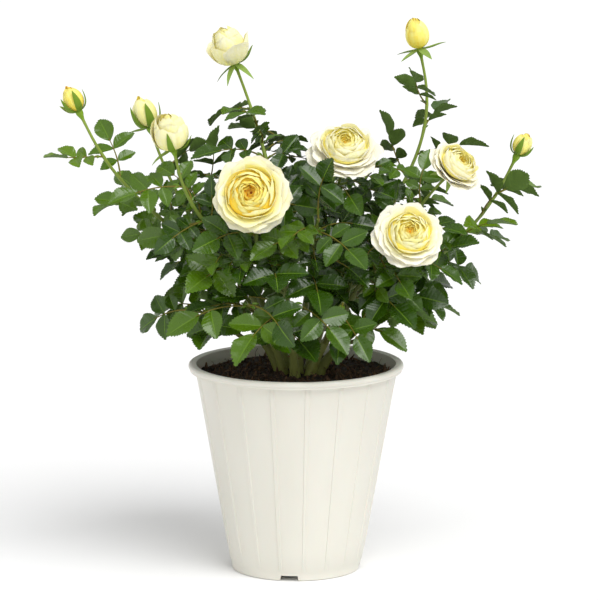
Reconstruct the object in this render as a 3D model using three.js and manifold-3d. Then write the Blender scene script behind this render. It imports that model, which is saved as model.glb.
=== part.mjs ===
// A potted rose bush: a tapered plastic pot of compost, eight woody canes that rise from the middle,
// flowering and leafy shoots that grow on from the canes, and a bloom or bud at the tip of each
// flowering shoot.
// Units are millimetres, +Z is up, and the bush's front faces -Y.
// The origin is the centre of the pot's flat underside.
import * as THREE from "three";
import { mergeVertices } from "three/addons/utils/BufferGeometryUtils.js";
import Module from "manifold-3d";

const wasm = await Module();
wasm.setup();

// ---------------------------------------------------------------- driving dimensions

const SEATING_GAP = 0.3; // between two solids that touch on the real plant

const POT = {
  height: 210,
  footRadius: 64.5,
  footBand: 9, // height of the plain band round the foot
  bandStep: 0.8, // the ribbed wall stands this far outside the band
  wallTopRadius: 100.5,
  lipRadius: 108,
  lipHeight: 8,
  wall: 1.8,
  floor: 8,
  ribs: 18,
  ribPhase: 6.5, // degrees from the front to the first rib
  ribHalfWidth: 1.7, // degrees
  ribHeight: 0.7,
};
const DRAIN = { channels: 4, width: 21, height: 5.5, length: 30, phase: -6, holeRadius: 4.5 };
const SOIL = { top: 200, flatRadius: 40, edgeDrop: 3, lump: 2.2, sides: 20 };

const CANE = { footFlare: 1.3, sides: 6, rings: 5 };
const STEM = { sides: 4, rings: 5, startRadius: 2.3, tipRadius: 1.4, nod: 0.35 };

// A leaf's lengths are shares of its end leaflet's length, and a pair's place is a share of its stalk.
const LEAF = {
  divergence: 137.5, // degrees from one leaf to the next round the stem
  rise: 58, // degrees between the stem and the leaf stalk
  stalk: 1.46,
  collar: 0.08, // where the stalk has its full thickness, as a share of it
  pairs: [
    { at: 0.48, size: 0.64, angle: 82, outline: [[0.42, 0.33]] },
    { at: 0.79, size: 0.84, angle: 72, outline: [[0.43, 0.34]] },
  ],
  // One side of a leaflet between its root and its tip: share along it, share across it.
  outline: [[0.26, 0.29], [0.62, 0.29]],
  fold: 0.1, // how far the sides rise over the midrib
  tipDroop: 0.12,
  droop: 0.75, // how far the stalk's outer half bends down
  spread: 0.4,
  outreach: 40, // mm that a leaf's own heading counts for beside its place on the bush
  faceOut: 0.5,
  faceSide: 1.0, // towards the front or the back, whichever side the leaf is on
  middle: 30, // mm along Y where leaves turn from facing the front to facing the back
  turnOver: 30, // mm on either side of that over which they turn
  sunk: 1.8, // mm from the stem's middle line to the stalk's root
};
const STALK = { halfWidth: 0.95, halfThickness: 0.85 };
const ROOM = {
  leaf: 2.4, // half the distance kept between the sample points of two nodes' leaflets
  ownLeaf: 1.6,
  stem: 1.2,
  tries: [0, 32, -32, 64, -64, 96, -96],
  shrink: 0.04,
  overRim: 20, // leaves hang no lower than this over the pot's rim
};

// Canes rise from the compost at foot and end at fork. Each bends over by its own weight.
const CANES = [
  { name: "cane_left", foot: [-17, 4], fork: [-74, 8, 288], radius: [4.2, 2.9] },
  { name: "cane_mid_left", foot: [-12, -12], fork: [-52, -24, 300], radius: [3.8, 2.7] },
  { name: "cane_front", foot: [-1, -24], fork: [-12, -44, 306], radius: [4.2, 2.9] },
  { name: "cane_centre", foot: [2, -4], fork: [16, 2, 316], radius: [4.0, 2.8] },
  { name: "cane_mid_right", foot: [14, -19], fork: [58, -34, 286], radius: [4.6, 3.0] },
  { name: "cane_right", foot: [23, -4], fork: [92, -2, 272], radius: [4.8, 3.1] },
  { name: "cane_back_left", foot: [-8, 19], fork: [-46, 58, 286], radius: [4.0, 2.8] },
  { name: "cane_back_right", foot: [13, 15], fork: [48, 58, 288], radius: [4.2, 2.8] },
];

const OPEN = "open";
const HALF_OPEN = "half_open";
const BUD = "bud";

// Each flowering shoot grows on from its cane's fork (at 1) or side (at less) to the flower at its tip.
// Its first leaf springs at first, a share of its stem, and its own divergence or droop replaces LEAF's.
const FLOWERING = [
  { name: "front_left", cane: "cane_front", at: 0.86, kind: OPEN, radius: 38, centre: [-43, -97, 394],
    axis: [-0.06, -0.92, 0.36], leaves: 4, first: 0.12, phase: 310, size: [37, 32] },
  { name: "top_centre", cane: "cane_centre", at: 1, kind: OPEN, radius: 35, centre: [48, -32, 430],
    axis: [0.08, -0.62, 0.78], leaves: 5, first: 0.1, phase: 80, size: [36, 30] },
  { name: "front_right", cane: "cane_mid_right", at: 1, kind: OPEN, radius: 34, centre: [110, -92, 354],
    axis: [0.12, -0.82, 0.56], leaves: 4, first: 0.12, phase: 300, size: [36, 30] },
  { name: "right", cane: "cane_right", at: 0.8, kind: OPEN, radius: 29, centre: [157, -58, 416],
    axis: [0.55, -0.5, 0.67], leaves: 6, first: 0.12, phase: 0, divergence: 180, droop: 0.3,
    size: [34, 29] },
  { name: "top_left", cane: "cane_front", at: 1, kind: HALF_OPEN, radius: 19, centre: [-66, 30, 521],
    axis: [-0.34, -0.1, 0.94], leaves: 8, first: 0.3, phase: 30, divergence: 220,
    size: [35, 30] },
  { name: "left", cane: "cane_mid_left", at: 1, kind: HALF_OPEN, radius: 18, centre: [-122, -76, 449],
    axis: [-0.2, -0.22, 0.95], leaves: 6, first: 0.1, phase: 240, droop: 0.55,
    size: [36, 31] },
  { name: "far_left", cane: "cane_left", at: 1, kind: BUD, radius: 10, centre: [-219, -30, 478],
    axis: [-0.44, 0, 0.9], leaves: 7, first: 0.1, phase: 300, divergence: 165, droop: 0,
    size: [34, 30] },
  { name: "upper_left", cane: "cane_mid_left", at: 0.84, kind: BUD, radius: 12, centre: [-152, 40, 456],
    axis: [-0.34, 0, 0.94], leaves: 7, first: 0.1, phase: 180, size: [32, 28] },
  { name: "top_right", cane: "cane_mid_right", at: 0.84, kind: BUD, radius: 12, centre: [121, 52, 534],
    axis: [-0.2, 0, 0.98], leaves: 9, first: 0.1, phase: 210, droop: 0.1,
    size: [34, 31] },
  { name: "far_right", cane: "cane_right", at: 1, kind: BUD, radius: 9, centre: [227, 40, 424],
    axis: [0.44, 0, 0.9], leaves: 7, first: 0.12, phase: 60, divergence: 180, droop: 0.35,
    size: [36, 32] },
  { name: "back_left", cane: "cane_back_left", at: 1, kind: OPEN, radius: 35, centre: [-50, 138, 350],
    axis: [-0.1, 0.8, 0.6], leaves: 4, first: 0.12, phase: 60, size: [37, 30] },
  { name: "back_right", cane: "cane_back_right", at: 0.86, kind: OPEN, radius: 33, centre: [104, 126, 326],
    axis: [0.35, 0.72, 0.6], leaves: 4, first: 0.12, phase: 10, size: [37, 30] },
  { name: "back_top", cane: "cane_back_right", at: 1, kind: HALF_OPEN, radius: 18, centre: [48, 118, 398],
    axis: [0.05, 0.3, 0.95], leaves: 4, first: 0.12, phase: 160, size: [36, 28] },
];

// Each leafy shoot arches out from its cane's side and ends in leaves.
const LEAFY = [
  { name: "skirt_left", cane: "cane_left", at: 0.34, tip: [-104, -20, 266],
    leaves: 4, phase: 155, size: [36, 36] },
  { name: "skirt_front_left", cane: "cane_mid_left", at: 0.4, tip: [-46, -78, 282],
    leaves: 6, phase: 335, size: [40, 36] },
  { name: "skirt_front", cane: "cane_front", at: 0.42, tip: [-4, -88, 286],
    leaves: 4, phase: 290, size: [42, 38] },
  { name: "skirt_front_right", cane: "cane_mid_right", at: 0.42, tip: [46, -80, 284],
    leaves: 4, phase: 120, size: [42, 38] },
  { name: "skirt_right", cane: "cane_right", at: 0.42, tip: [112, -34, 270],
    leaves: 3, phase: 270, size: [36, 34] },
  { name: "skirt_back_right", cane: "cane_back_right", at: 0.44, tip: [70, 70, 272],
    leaves: 4, phase: 60, size: [40, 36] },
  { name: "skirt_back_left", cane: "cane_back_left", at: 0.44, tip: [-62, 72, 274],
    leaves: 4, phase: 195, size: [40, 36] },
  { name: "middle_left", cane: "cane_left", at: 0.8, tip: [-92, 36, 372],
    leaves: 4, phase: 150, divergence: 180, droop: 0.55, size: [36, 32] },
  { name: "middle_front", cane: "cane_centre", at: 0.62, tip: [22, -72, 366],
    leaves: 5, phase: 250, first: 0.4, size: [40, 34] },
  { name: "middle_right", cane: "cane_centre", at: 0.8, tip: [78, 22, 404],
    leaves: 4, phase: 320, size: [36, 32] },
  { name: "middle_back", cane: "cane_back_left", at: 0.84, tip: [-14, 66, 424],
    leaves: 4, phase: 105, size: [36, 32] },
];

const RAD = Math.PI / 180;
const UP = new THREE.Vector3(0, 0, 1);
const FRONT = new THREE.Vector3(0, -1, 0);

// ---------------------------------------------------------------- solids and materials

const MATERIALS = {
  pot: new THREE.MeshStandardMaterial({ color: 0xe9e6dc, roughness: 0.45, metalness: 0 }),
  soil: new THREE.MeshStandardMaterial({ color: 0x2c1d14, roughness: 0.95, metalness: 0 }),
  cane: new THREE.MeshStandardMaterial({ color: 0x66622c, roughness: 0.7, metalness: 0 }),
  foliage: new THREE.MeshStandardMaterial({ color: 0x2f5a22, roughness: 0.5, metalness: 0 }),
  petal: new THREE.MeshStandardMaterial({ color: 0xf6eebc, roughness: 0.6, metalness: 0 }),
};

/** A closed three.js geometry as a solid that can be joined and cut. */
function solid(geometry) {
  const bare = geometry.clone();
  bare.deleteAttribute("normal");
  bare.deleteAttribute("uv");
  const merged = mergeVertices(bare, 1e-4);
  return new wasm.Manifold(
    new wasm.Mesh({
      numProp: 3,
      vertProperties: merged.attributes.position.array,
      triVerts: new Uint32Array(merged.index.array),
    }),
  );
}

/** The solids as one, with sealed hollows filled and loose scraps dropped. */
function fuse(solids) {
  const parts = wasm.Manifold.union(solids).decompose();
  return parts.reduce((best, part) => (part.volume() > best.volume() ? part : best));
}

/** A named mesh made from a solid. */
function meshOf(name, shape, material) {
  const { numProp, numVert, vertProperties, triVerts } = shape.getMesh();
  const position = new Float32Array(numVert * 3);
  for (let i = 0; i < numVert; i++) {
    position.set(vertProperties.subarray(i * numProp, i * numProp + 3), i * 3);
  }
  const geometry = new THREE.BufferGeometry();
  geometry.setAttribute("position", new THREE.BufferAttribute(position, 3));
  geometry.setIndex(new THREE.BufferAttribute(new Uint32Array(triVerts), 1));
  const flat = geometry.toNonIndexed();
  flat.computeVertexNormals();
  const mesh = new THREE.Mesh(flat, material);
  mesh.name = name;
  return mesh;
}

/** The geometry with each vertex moved to where place(vertex) puts it. */
function shaped(geometry, place) {
  const position = geometry.attributes.position;
  const vertex = new THREE.Vector3();
  for (let i = 0; i < position.count; i++) {
    vertex.fromBufferAttribute(position, i);
    const { x, y, z } = place(vertex);
    position.setXYZ(i, x, y, z);
  }
  return geometry;
}

const vector = ([x, y, z]) => new THREE.Vector3(x, y, z);
const mix = (a, b, t) => a + (b - a) * t;

/** Numbers from 0 to 1 that are the same each time for one seed. */
class Random {
  constructor(seed) {
    this.state = seed;
  }
  next() {
    this.state = (this.state * 1664525 + 1013904223) % 4294967296;
    return this.state / 4294967296;
  }
  spread(most) {
    return (2 * this.next() - 1) * most;
  }
}

// ---------------------------------------------------------------- pot and compost

/** The inner wall's radius at a height above the pot's underside. */
function innerRadius(height) {
  const slope = (POT.wallTopRadius - POT.footRadius) / (POT.height - POT.lipHeight);
  return POT.footRadius + slope * height - POT.wall;
}

/** A lathe about Z from [radius, height] pairs that run up the outside and back down the inside. */
function lathe(profile, sides) {
  const points = profile.map(([radius, height]) => new THREE.Vector2(radius, height));
  return new THREE.LatheGeometry(points, sides).rotateX(Math.PI / 2);
}

/** The pot: a tapered shell with a rolled lip, upright ribs, and drain channels across its foot. */
function makePot() {
  const wallFoot = POT.height - POT.lipHeight;
  const bandRadius = POT.footRadius + 1.4;
  const profile = [
    [0, 0],
    [POT.footRadius, 0],
    [bandRadius, POT.footBand],
    [bandRadius + POT.bandStep, POT.footBand + 1],
    [POT.wallTopRadius, wallFoot],
    [POT.lipRadius - 1.5, wallFoot + 0.5],
    [POT.lipRadius, wallFoot + 2.5],
    [POT.lipRadius - 2, POT.height],
    [POT.lipRadius - 5, POT.height],
    [innerRadius(wallFoot), wallFoot - 2],
    [innerRadius(POT.floor), POT.floor],
    [0, POT.floor],
  ];
  // Column angles within one rib's share of the wall: its two edges with the crest between them.
  const columnAngles = [-POT.ribHalfWidth, 0, POT.ribHalfWidth];
  const columns = POT.ribs * columnAngles.length;
  const pitch = 360 / POT.ribs;
  const shell = shaped(lathe(profile, columns), ({ x, y, z }) => {
    const radius = Math.hypot(x, y);
    const turn = Math.atan2(x, -y) / (2 * Math.PI); // from the front
    const column = (Math.round(turn * columns) + columns) % columns;
    const rib = Math.floor(column / columnAngles.length);
    const place = column % columnAngles.length;
    const angle = (rib * pitch + columnAngles[place] + POT.ribPhase) * RAD;
    const onWall = z > POT.footBand && z < wallFoot && radius > innerRadius(z) + 0.5;
    const crested = radius + (place === 1 && onWall ? POT.ribHeight : 0);
    return radius < 0.01
      ? new THREE.Vector3(0, 0, z)
      : new THREE.Vector3(Math.sin(angle) * crested, -Math.cos(angle) * crested, z);
  });
  const cuts = [];
  for (let i = 0; i < DRAIN.channels; i++) {
    const turn = (i * 360) / DRAIN.channels + DRAIN.phase;
    const inner = POT.footRadius - DRAIN.length;
    const channel = new THREE.BoxGeometry(DRAIN.width, DRAIN.length + 10, DRAIN.height * 2);
    channel.translate(0, -(inner + (DRAIN.length + 10) / 2), 0);
    const hole = new THREE.CylinderGeometry(DRAIN.holeRadius, DRAIN.holeRadius, POT.floor * 3, 8);
    hole.rotateX(Math.PI / 2).translate(0, -(inner + DRAIN.holeRadius + 4), 0);
    cuts.push(solid(channel.rotateZ(turn * RAD)), solid(hole.rotateZ(turn * RAD)));
  }
  return solid(shell).subtract(wasm.Manifold.union(cuts));
}

/** The compost that fills the pot, flat round the canes' feet and lumpy towards the wall. */
function makeSoil() {
  const clear = SEATING_GAP + 0.5; // the wall is faceted, so the round filling keeps further in
  const bottom = POT.floor + SEATING_GAP;
  const edge = SOIL.top - SOIL.edgeDrop;
  const profile = [
    [0, bottom],
    [innerRadius(bottom) - clear, bottom],
    [innerRadius(edge) - clear, edge],
    [innerRadius(edge) - 12, SOIL.top - 1],
    [SOIL.flatRadius * 1.7, SOIL.top - 1],
    [SOIL.flatRadius, SOIL.top],
    [0, SOIL.top],
  ];
  const random = new Random(7);
  const lumps = Array.from({ length: SOIL.sides * 2 }, () => random.spread(SOIL.lump));
  return solid(
    shaped(lathe(profile, SOIL.sides), (vertex) => {
      const radius = Math.hypot(vertex.x, vertex.y);
      const column = Math.round((Math.atan2(vertex.y, vertex.x) / (2 * Math.PI)) * SOIL.sides);
      const ring = radius > SOIL.flatRadius * 2 ? SOIL.sides : 0;
      const isLump = vertex.z > edge + 0.5 && radius > SOIL.flatRadius + 1;
      const lump = lumps[((column + SOIL.sides) % SOIL.sides) + ring];
      return vertex.setZ(vertex.z + (isLump ? lump : 0));
    }),
  );
}

// ---------------------------------------------------------------- limbs

/** A tapering limb along a curve. With footHeight, its start is cut level there. */
function limb(curve, startRadius, endRadius, { sides, rings, flare = 1, footHeight = null }) {
  const frames = curve.computeFrenetFrames(rings, false);
  return shaped(new THREE.CylinderGeometry(1, 1, 1, sides, rings), (vertex) => {
    const ring = Math.round((vertex.y + 0.5) * rings);
    const taper = mix(startRadius, endRadius, ring / rings);
    const radius = ring === 0 ? taper * flare : taper;
    const point = curve
      .getPointAt(ring / rings)
      .addScaledVector(frames.normals[ring], vertex.x * radius)
      .addScaledVector(frames.binormals[ring], -vertex.z * radius);
    if (footHeight !== null && ring === 0) {
      const tangent = frames.tangents[0];
      point.addScaledVector(tangent, (footHeight - point.z) / tangent.z);
      point.z = footHeight;
    }
    return point;
  });
}

/** The cubic curve from start to end that leaves along one direction and arrives along another. */
function arch(start, startDirection, end, endDirection, startPull = 0.36, endPull = 0.36) {
  const span = start.distanceTo(end);
  return new THREE.CubicBezierCurve3(
    start,
    start.clone().addScaledVector(startDirection, span * startPull),
    end.clone().addScaledVector(endDirection, -span * endPull),
    end,
  );
}

/** A cane's curve, from the compost up to its fork. */
function caneCurve(cane) {
  const foot = new THREE.Vector3(cane.foot[0], cane.foot[1], SOIL.top + SEATING_GAP);
  const fork = vector(cane.fork);
  const lean = fork.clone().sub(foot).normalize();
  const startDirection = lean.clone().addScaledVector(UP, 0.5).normalize();
  return arch(foot, startDirection, fork, lean);
}

/** Where a shoot starts on its cane: past the fork's end face, or beside the cane. */
function startOnCane(cane, curve, at, towards) {
  const point = curve.getPoint(at);
  const tangent = curve.getTangent(at).normalize();
  if (at === 1) {
    return { point: point.addScaledVector(tangent, SEATING_GAP), direction: tangent };
  }
  const side = towards.clone().sub(point);
  side.addScaledVector(tangent, -side.dot(tangent)).normalize();
  const radius = mix(cane.radius[0], cane.radius[1], at);
  const direction = side.clone().addScaledVector(tangent, 0.75).normalize();
  point.addScaledVector(side, radius + SEATING_GAP + STEM.startRadius * 0.65);
  return { point, direction };
}

// ---------------------------------------------------------------- room between the nodes

/** Sample points that are taken, so that no leaf grows into another limb, leaf or bloom. */
class Room {
  constructor() {
    this.cell = 12;
    this.cells = new Map();
    this.balls = [];
  }
  key(x, y, z) {
    return `${Math.floor(x / this.cell)},${Math.floor(y / this.cell)},${Math.floor(z / this.cell)}`;
  }
  take(points, radius, owner, leaf) {
    for (const point of points) {
      const key = this.key(point.x, point.y, point.z);
      if (!this.cells.has(key)) this.cells.set(key, []);
      this.cells.get(key).push({ point, radius, owner, leaf });
    }
  }
  takeBall(centre, radius, owner) {
    this.balls.push({ centre, radius, owner });
  }
  near(point) {
    const found = [];
    for (const x of [-1, 0, 1]) {
      for (const y of [-1, 0, 1]) {
        for (const z of [-1, 0, 1]) {
          const key = this.key(
            point.x + x * this.cell,
            point.y + y * this.cell,
            point.z + z * this.cell,
          );
          found.push(...(this.cells.get(key) ?? []));
        }
      }
    }
    return found;
  }
  isFree(points, radius, owner, leaf) {
    return points.every((point) => {
      if (point.z < POT.height + ROOM.overRim) return false;
      if (this.balls.some((ball) => point.distanceTo(ball.centre) < ball.radius + radius)) return false;
      return this.near(point).every((taken) => {
        if (taken.owner === owner && taken.leaf === leaf) return true;
        if (taken.owner === owner && taken.leaf === null) return true;
        const kept = taken.owner === owner ? ROOM.ownLeaf * 2 : radius + taken.radius;
        return point.distanceTo(taken.point) >= kept;
      });
    });
  }
}

// ---------------------------------------------------------------- leaves

/** A leaflet's own axes: along it, across it, and out of its upper face. */
function leafletFrame(direction, face) {
  const along = direction.clone().normalize();
  const normal = face.clone().addScaledVector(along, -face.dot(along)).normalize();
  const across = new THREE.Vector3().crossVectors(along, normal);
  return { along, across, normal };
}

/** A point of a leaflet from shares of its length. */
function onLeaflet(leaflet, along, across, up) {
  return leaflet.root
    .clone()
    .addScaledVector(leaflet.along, along * leaflet.length)
    .addScaledVector(leaflet.across, across * leaflet.length)
    .addScaledVector(leaflet.normal, up * leaflet.length);
}

/** The points that stand for a leaflet when room is looked for. */
function leafletSamples(leaflet) {
  const rows = [
    [0.15, 0.18],
    [0.35, 0.3],
    [0.55, 0.3],
    [0.78, 0.18],
  ];
  const samples = rows.flatMap(([along, across]) =>
    [-1, -0.5, 0, 0.5, 1].map((side) =>
      onLeaflet(leaflet, along, side * across, Math.abs(side) * LEAF.fold),
    ),
  );
  return [...samples, leafletTip(leaflet)];
}

function leafletTip(leaflet) {
  return onLeaflet(leaflet, 1, 0, -LEAF.tipDroop);
}

/** A leaflet's border on one side of its midrib, from its root to just before its tip. */
function leafletSide(leaflet, outline, side) {
  return outline.map(([along, across]) => onLeaflet(leaflet, along, side * across, LEAF.fold));
}

/** A closed surface that is put together from corners and faces. */
class Surface {
  corners = [];
  faces = [];
  corner({ x, y, z }) {
    this.corners.push(x, y, z);
    return this.corners.length / 3 - 1;
  }
  face(a, b, c, flipped) {
    this.faces.push(a, ...(flipped ? [c, b] : [b, c]));
  }
  geometry() {
    const geometry = new THREE.BufferGeometry();
    geometry.setAttribute("position", new THREE.Float32BufferAttribute(this.corners, 3));
    return geometry.setIndex(this.faces);
  }
}

/**
 * A compound leaf as one closed blade, thickest along its stalk and midribs and sharp at its border.
 * Each knot of the stalk has a corner above and one below, with a fan of faces from it to its share of
 * the border on either hand: the collar's share is the stalk's own side, a pair's is its leaflet.
 */
function leafGeometry({ stalk, frame, root, pairs, endLeaflet }) {
  const surface = new Surface();
  const beside = (t, hand) => stalk.getPoint(t).addScaledVector(frame.across, hand * STALK.halfWidth);
  const places = [LEAF.collar, ...LEAF.pairs.map((pair) => pair.at), 1];
  const levels = [1, -1].map((level) =>
    places.map((t) =>
      surface.corner(stalk.getPoint(t).addScaledVector(frame.normal, level * STALK.halfThickness)),
    ),
  );
  const first = surface.corner(root);
  const tip = surface.corner(leafletTip(endLeaflet));
  for (const hand of [1, -1]) {
    const leafletBorders = pairs.map((pair, i) => {
      const leaflet = pair[hand];
      const { outline } = LEAF.pairs[i];
      if (!leaflet) return [];
      return [
        ...leafletSide(leaflet, outline, hand),
        leafletTip(leaflet),
        ...leafletSide(leaflet, outline, -hand).reverse(),
      ];
    });
    const endBorder = leafletSide(endLeaflet, LEAF.outline, hand);
    const borders = [[beside(LEAF.collar, hand)], ...leafletBorders, endBorder];
    let last = first;
    borders.forEach((border, i) => {
      const isEnd = i === borders.length - 1;
      const next = isEnd ? tip : surface.corner(beside((places[i] + places[i + 1]) / 2, hand));
      const fan = [last, ...border.map((point) => surface.corner(point)), next];
      levels.forEach((knots, level) => {
        const flipped = hand > 0 ? level === 1 : level === 0;
        for (let j = 0; j + 1 < fan.length; j++) surface.face(knots[i], fan[j], fan[j + 1], flipped);
        if (!isEnd) surface.face(knots[i], next, knots[i + 1], flipped);
      });
      last = next;
    });
  }
  return surface.geometry();
}

/** One compound leaf: its curved stalk and the place of each leaflet, by pair and hand. */
function compoundLeaf(start, stemDirection, droop, heading, size, tilt) {
  const side = new THREE.Vector3(Math.cos(heading * RAD), Math.sin(heading * RAD), 0);
  side.addScaledVector(stemDirection, -side.dot(stemDirection)).normalize();
  const outward = start.clone().addScaledVector(side, LEAF.outreach).setZ(0).normalize();
  const rise = LEAF.rise * RAD;
  const rising = stemDirection.clone().multiplyScalar(Math.cos(rise)).addScaledVector(side, Math.sin(rise));
  const falling = rising.clone().addScaledVector(UP, -droop).addScaledVector(outward, LEAF.spread);
  falling.normalize();
  const half = (size * LEAF.stalk) / 2;
  const knee = start.clone().addScaledVector(rising, half);
  const end = knee.clone().addScaledVector(falling, half);
  const stalk = new THREE.QuadraticBezierCurve3(start, knee, end);
  const frontness = THREE.MathUtils.clamp((LEAF.middle - start.y) / LEAF.turnOver, -1, 1);
  const face = UP.clone().addScaledVector(outward, LEAF.faceOut);
  face.addScaledVector(FRONT, LEAF.faceSide * frontness);
  face.normalize().applyAxisAngle(falling, tilt);

  const frame = leafletFrame(falling, face);
  const pairs = LEAF.pairs.map((pair) => {
    const leaflets = {};
    for (const hand of [1, -1]) {
      const turn = -hand * pair.angle * RAD;
      const direction = frame.along.clone().applyAxisAngle(frame.normal, turn);
      const axes = leafletFrame(direction, face);
      leaflets[hand] = { root: stalk.getPoint(pair.at), length: size * pair.size, ...axes };
    }
    return leaflets;
  });
  const root = start.clone().addScaledVector(rising, -LEAF.sunk);
  return { stalk, frame, root, pairs, endLeaflet: { root: end, length: size, ...frame } };
}

/** Grows a shoot's next leaf with the leaflets that find room. Each try turns further round the stem. */
function growLeaf(shoot, index, room) {
  const share = shoot.leaves > 1 ? index / (shoot.leaves - 1) : 1;
  const at = mix(shoot.first, shoot.last, share);
  const start = shoot.curve.getPoint(at);
  const direction = shoot.curve.getTangent(at).normalize();
  const heading = shoot.phase + index * shoot.divergence + shoot.random.spread(12);
  const size = mix(shoot.size[0], shoot.size[1], share) * (1 + shoot.random.spread(0.08));
  const tilt = shoot.random.spread(0.4);
  let best = null;
  ROOM.tries.forEach((turn, attempt) => {
    if (best && best.count === LEAF.pairs.length * 2) return;
    const tried = size * (1 - ROOM.shrink * attempt);
    const leaf = compoundLeaf(start, direction, shoot.droop, heading + turn, tried, tilt);
    const stalkPoints = leaf.stalk.getPoints(8).slice(2);
    if (!room.isFree(stalkPoints, ROOM.stem, shoot.name, index)) return;
    const fits = (leaflet) => room.isFree(leafletSamples(leaflet), ROOM.leaf, shoot.name, index);
    if (!fits(leaf.endLeaflet)) return;
    leaf.pairs = leaf.pairs.map((pair) => ({
      [1]: fits(pair[1]) ? pair[1] : null,
      [-1]: fits(pair[-1]) ? pair[-1] : null,
    }));
    const leaflets = leaf.pairs.flatMap((pair) => [pair[1], pair[-1]]).filter(Boolean);
    if (best && leaflets.length <= best.count) return;
    best = { leaf, stalkPoints, leaflets, count: leaflets.length };
  });
  if (!best) return;
  room.take(best.stalkPoints, ROOM.stem, shoot.name, index);
  for (const leaflet of [best.leaf.endLeaflet, ...best.leaflets]) {
    room.take(leafletSamples(leaflet), ROOM.leaf, shoot.name, index);
  }
  shoot.grown.push(best.leaf);
}

/** A shoot's node: its stem, with every leaf that it grew fused on. */
function shootSolid(shoot) {
  const stem = limb(shoot.curve, STEM.startRadius, STEM.tipRadius, STEM);
  return fuse([solid(stem), ...shoot.grown.map((leaf) => solid(leafGeometry(leaf)))]);
}

// ---------------------------------------------------------------- flowers

const FLOWER = {
  stalk: 15,
  stalkRadius: 1.5,
  hipRadius: 3.6,
  hipLength: 7,
  sepals: 5,
  petalThickness: 1.5,
  petalCorners: 6, // a blunt rim, a blunt foot and two sides
  petalFlare: 0.35, // how much wider the petal is at its rim than in the middle
  sepalThickness: 0.6,
};

// A whorl's petals spring from the heart at foot and end at rim, on a bowl round the flower's axis.
// Both are [radius, height above the hip] in shares of the bloom's radius, turn is in shares of one
// petal's spacing, and halfWidth is in degrees.
const WHORLS = {
  [OPEN]: [
    { petals: 5, foot: [0.2, 0.14], rim: [1.0, 0.4], turn: 0, halfWidth: 34 },
    { petals: 5, foot: [0.36, 0.32], rim: [0.82, 0.72], turn: 0.5, halfWidth: 33 },
  ],
  [HALF_OPEN]: [{ petals: 5, foot: [0.36, 0.28], rim: [1.05, 1.3], turn: 0, halfWidth: 33 }],
  [BUD]: [],
};
// The heart of each kind of flower: [radius, height] shares from the hip to the top, and how far its
// lobes, which are the rims of the petals that are still folded in, stand out.
const HEARTS = {
  [OPEN]: {
    sides: 8,
    lobe: 0.1,
    profile: [
      [0.3, 0.06],
      [0.5, 0.34],
      [0.46, 0.7],
      [0.22, 0.62],
    ],
  },
  [HALF_OPEN]: {
    sides: 8,
    lobe: 0.09,
    profile: [
      [0.5, 0.25],
      [0.8, 0.8],
      [0.64, 1.5],
      [0.3, 1.62],
    ],
  },
  [BUD]: {
    sides: 6,
    lobe: 0,
    profile: [
      [0.72, 0.35],
      [1.0, 1.05],
      [0.72, 1.9],
      [0.25, 2.4],
    ],
  },
};
const SEPALS = {
  [OPEN]: { length: 0.62, width: 0.13, opening: 100, swell: 0.1 },
  [HALF_OPEN]: { length: 1.35, width: 0.26, opening: 112, swell: 0.1 },
  [BUD]: { length: 2.3, width: 0.4, opening: 24, swell: 0.3 },
};
// How far a flower's centre lies above its hip, as a share of its radius.
const CENTRE_HEIGHT = { [OPEN]: 0.4, [HALF_OPEN]: 0.8, [BUD]: 1.2 };

/** The flower's own axes, with w along its axis. */
function flowerFrame(axis) {
  const w = axis.clone().normalize();
  const u = new THREE.Vector3().crossVectors(UP, w);
  if (u.lengthSq() < 1e-3) u.set(1, 0, 0);
  u.normalize();
  return { u, v: new THREE.Vector3().crossVectors(w, u), w };
}

/** Where a flower stands: the tip of its shoot, its hip's top, and its axes. */
function flowerPlace(flower) {
  const frame = flowerFrame(vector(flower.axis));
  const below = CENTRE_HEIGHT[flower.kind] * flower.radius;
  const hipTop = vector(flower.centre).addScaledVector(frame.w, -below);
  const foot = hipTop.clone().addScaledVector(frame.w, -(FLOWER.stalk + FLOWER.hipLength));
  return { ...frame, hipTop, foot };
}

/** A point at a turn round the flower's axis, a radius from it and a height above the hip. */
function onFlower(place, turn, radius, height) {
  return place.hipTop
    .clone()
    .addScaledVector(place.u, Math.cos(turn) * radius)
    .addScaledVector(place.v, Math.sin(turn) * radius)
    .addScaledVector(place.w, height);
}

/** One petal: a thin blade with a blunt rim that curves outwards and then up along its whorl's bowl. */
function petalGeometry(place, flower, whorl, index) {
  const middle = ((index + whorl.turn) / whorl.petals) * 2 * Math.PI;
  const [footRadius, footHeight] = whorl.foot.map((share) => share * flower.radius);
  const [rimRadius, rimHeight] = whorl.rim.map((share) => share * flower.radius);
  return shaped(new THREE.SphereGeometry(1, FLOWER.petalCorners, 2), ({ x, y, z }) => {
    const along = (0.5 - 0.5 * z) * 0.5 * Math.PI;
    const outward = Math.cos(along) * (rimRadius - footRadius);
    const upward = Math.sin(along) * (rimHeight - footHeight);
    const thickness = (y * FLOWER.petalThickness) / 2 / Math.hypot(outward, upward);
    const radius = mix(footRadius, rimRadius, Math.sin(along)) + thickness * upward;
    const height = mix(footHeight, rimHeight, 1 - Math.cos(along)) - thickness * outward;
    const width = x * whorl.halfWidth * RAD * (1 - FLOWER.petalFlare * z);
    return onFlower(place, middle + width, radius, height);
  });
}

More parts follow.
